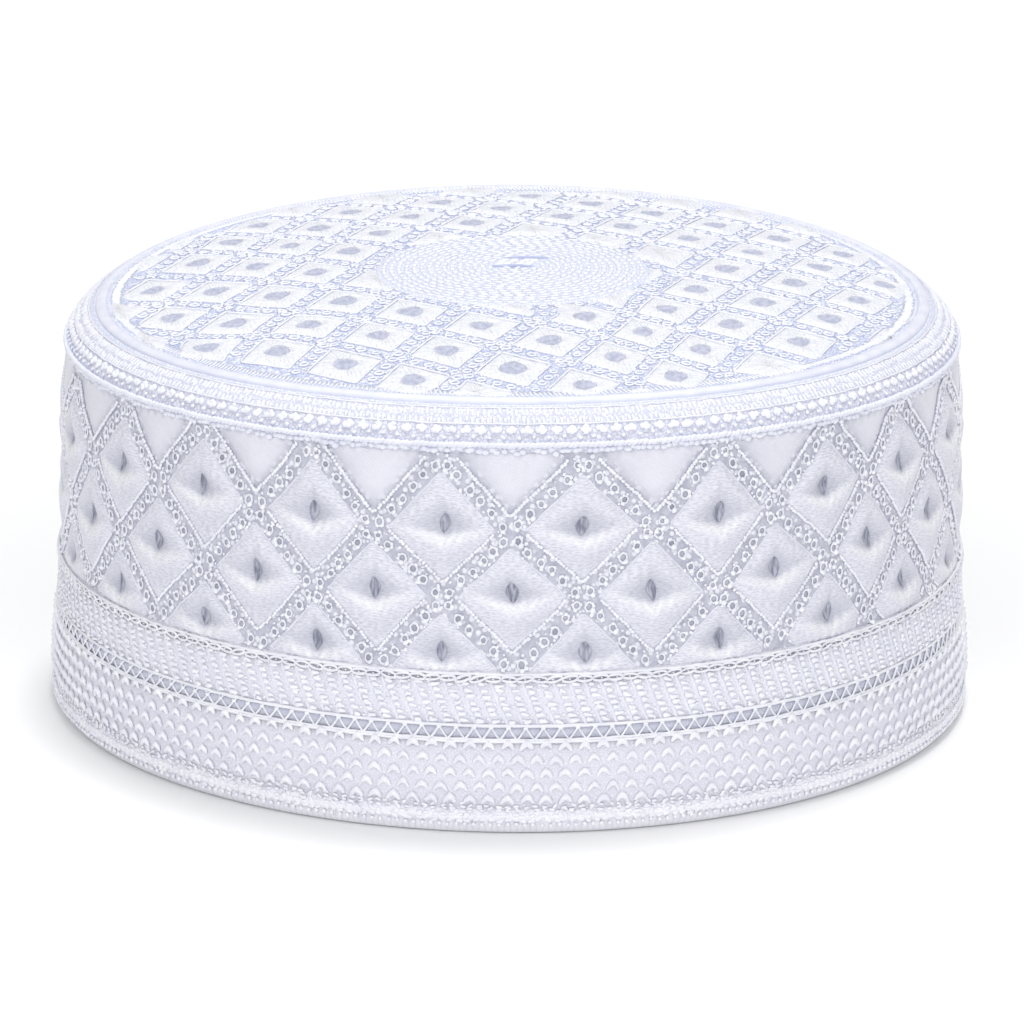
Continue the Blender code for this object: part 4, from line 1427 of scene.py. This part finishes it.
lining = {
    "steps": 132,
    "crownRadii": (0.05, 20.0, 40.0, 60.0, 75.0, 83.0),
    "crownDepths": (2.22, 3.22),  # of its two faces under the crown
}
sideProfile = [
    (91.85, 5.2), (91.1, 18.8), (90.5, 31.8), (90.3, 47.2), (90.1, 61.1), (88.9, 75.0), (88.2, 78.2),
    (86.9, 79.8), (85.0, 81.6), (83.7, 82.1), (83.4, 81.1), (84.3, 80.7), (86.2, 79.1), (87.3, 77.7),
    (87.95, 75.0), (89.1, 61.1), (89.3, 47.2), (89.5, 31.8), (90.1, 18.8), (90.85, 5.2),
]
sideLining = turnedPiece("sideLining", sideProfile, lining["steps"], cottonLining, "lining", "side_lining")
radii, (upper, lower) = lining["crownRadii"], lining["crownDepths"]
crownProfile = [(radius, domeHeight(radius) - upper) for radius in radii]
crownProfile += [(radius, domeHeight(radius) - lower) for radius in radii[::-1]]
crownLining = turnedPiece("crownLining", crownProfile, lining["steps"], cottonLining, "lining",
                          "crown_lining")
print("linings sewn in")

# floor, light and camera

studio = {
    "floorHalf": 4.0,
    "floorColour": (0.88, 0.88, 0.88, 1.0),
    "sky": (0.98, 0.985, 1.0, 1.0),
    "skyStrength": 0.30,
    "lights": (  # name, strength, width in degrees and tilt in degrees
        ("topSoftbox", 1.50, 14.0, (-10.0, 3.0, 0.0)),
        ("frontSoftbox", 2.12, 110.0, (52.0, 0.0, 0.0)),
    ),
}
shape = bmesh.new()
under = Matrix.Translation((0, 0, -0.00005))
bmesh.ops.create_grid(shape, x_segments=1, y_segments=1, size=studio["floorHalf"], matrix=under)
floorMesh = bpy.data.meshes.new("studioFloor")
shape.to_mesh(floorMesh)
shape.free()
floor = bpy.data.objects.new("studioFloor", floorMesh)
bpy.context.scene.collection.objects.link(floor)
floorLook, shader = newLook("paleFloor", 1.0, sheen=0.0, specular=0.0)
shader.inputs["Base Color"].default_value = studio["floorColour"]
floorMesh.materials.append(floorLook)
floor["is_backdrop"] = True

world = bpy.data.worlds.new("softStudio")
world.use_nodes = True
world.node_tree.nodes["Background"].inputs["Color"].default_value = studio["sky"]
world.node_tree.nodes["Background"].inputs["Strength"].default_value = studio["skyStrength"]
bpy.context.scene.world = world
for name, strength, width, tilt in studio["lights"]:
    light = bpy.data.lights.new(name, "SUN")
    light.energy = strength
    light.angle = math.radians(width)
    lamp = bpy.data.objects.new(name, light)
    lamp.rotation_euler = [math.radians(turn) for turn in tilt]
    bpy.context.scene.collection.objects.link(lamp)
bpy.context.scene.view_settings.view_transform = "Standard"

camera = bpy.data.cameras.new("photoView")
camera.lens = view["lens"]
camera.sensor_width = view["sensor"]
camera.clip_end = 20.0
eye = bpy.data.objects.new("photoView", camera)
eye.matrix_world = Matrix.Translation(view["place"]) @ viewTurn
bpy.context.scene.collection.objects.link(eye)
bpy.context.scene.camera = eye
print("studio lit")

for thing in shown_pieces():
    if thing.type == "MESH" and not thing.hide_render:
        print("triangles", thing.name, sum(len(polygon.vertices) - 2 for polygon in thing.data.polygons))
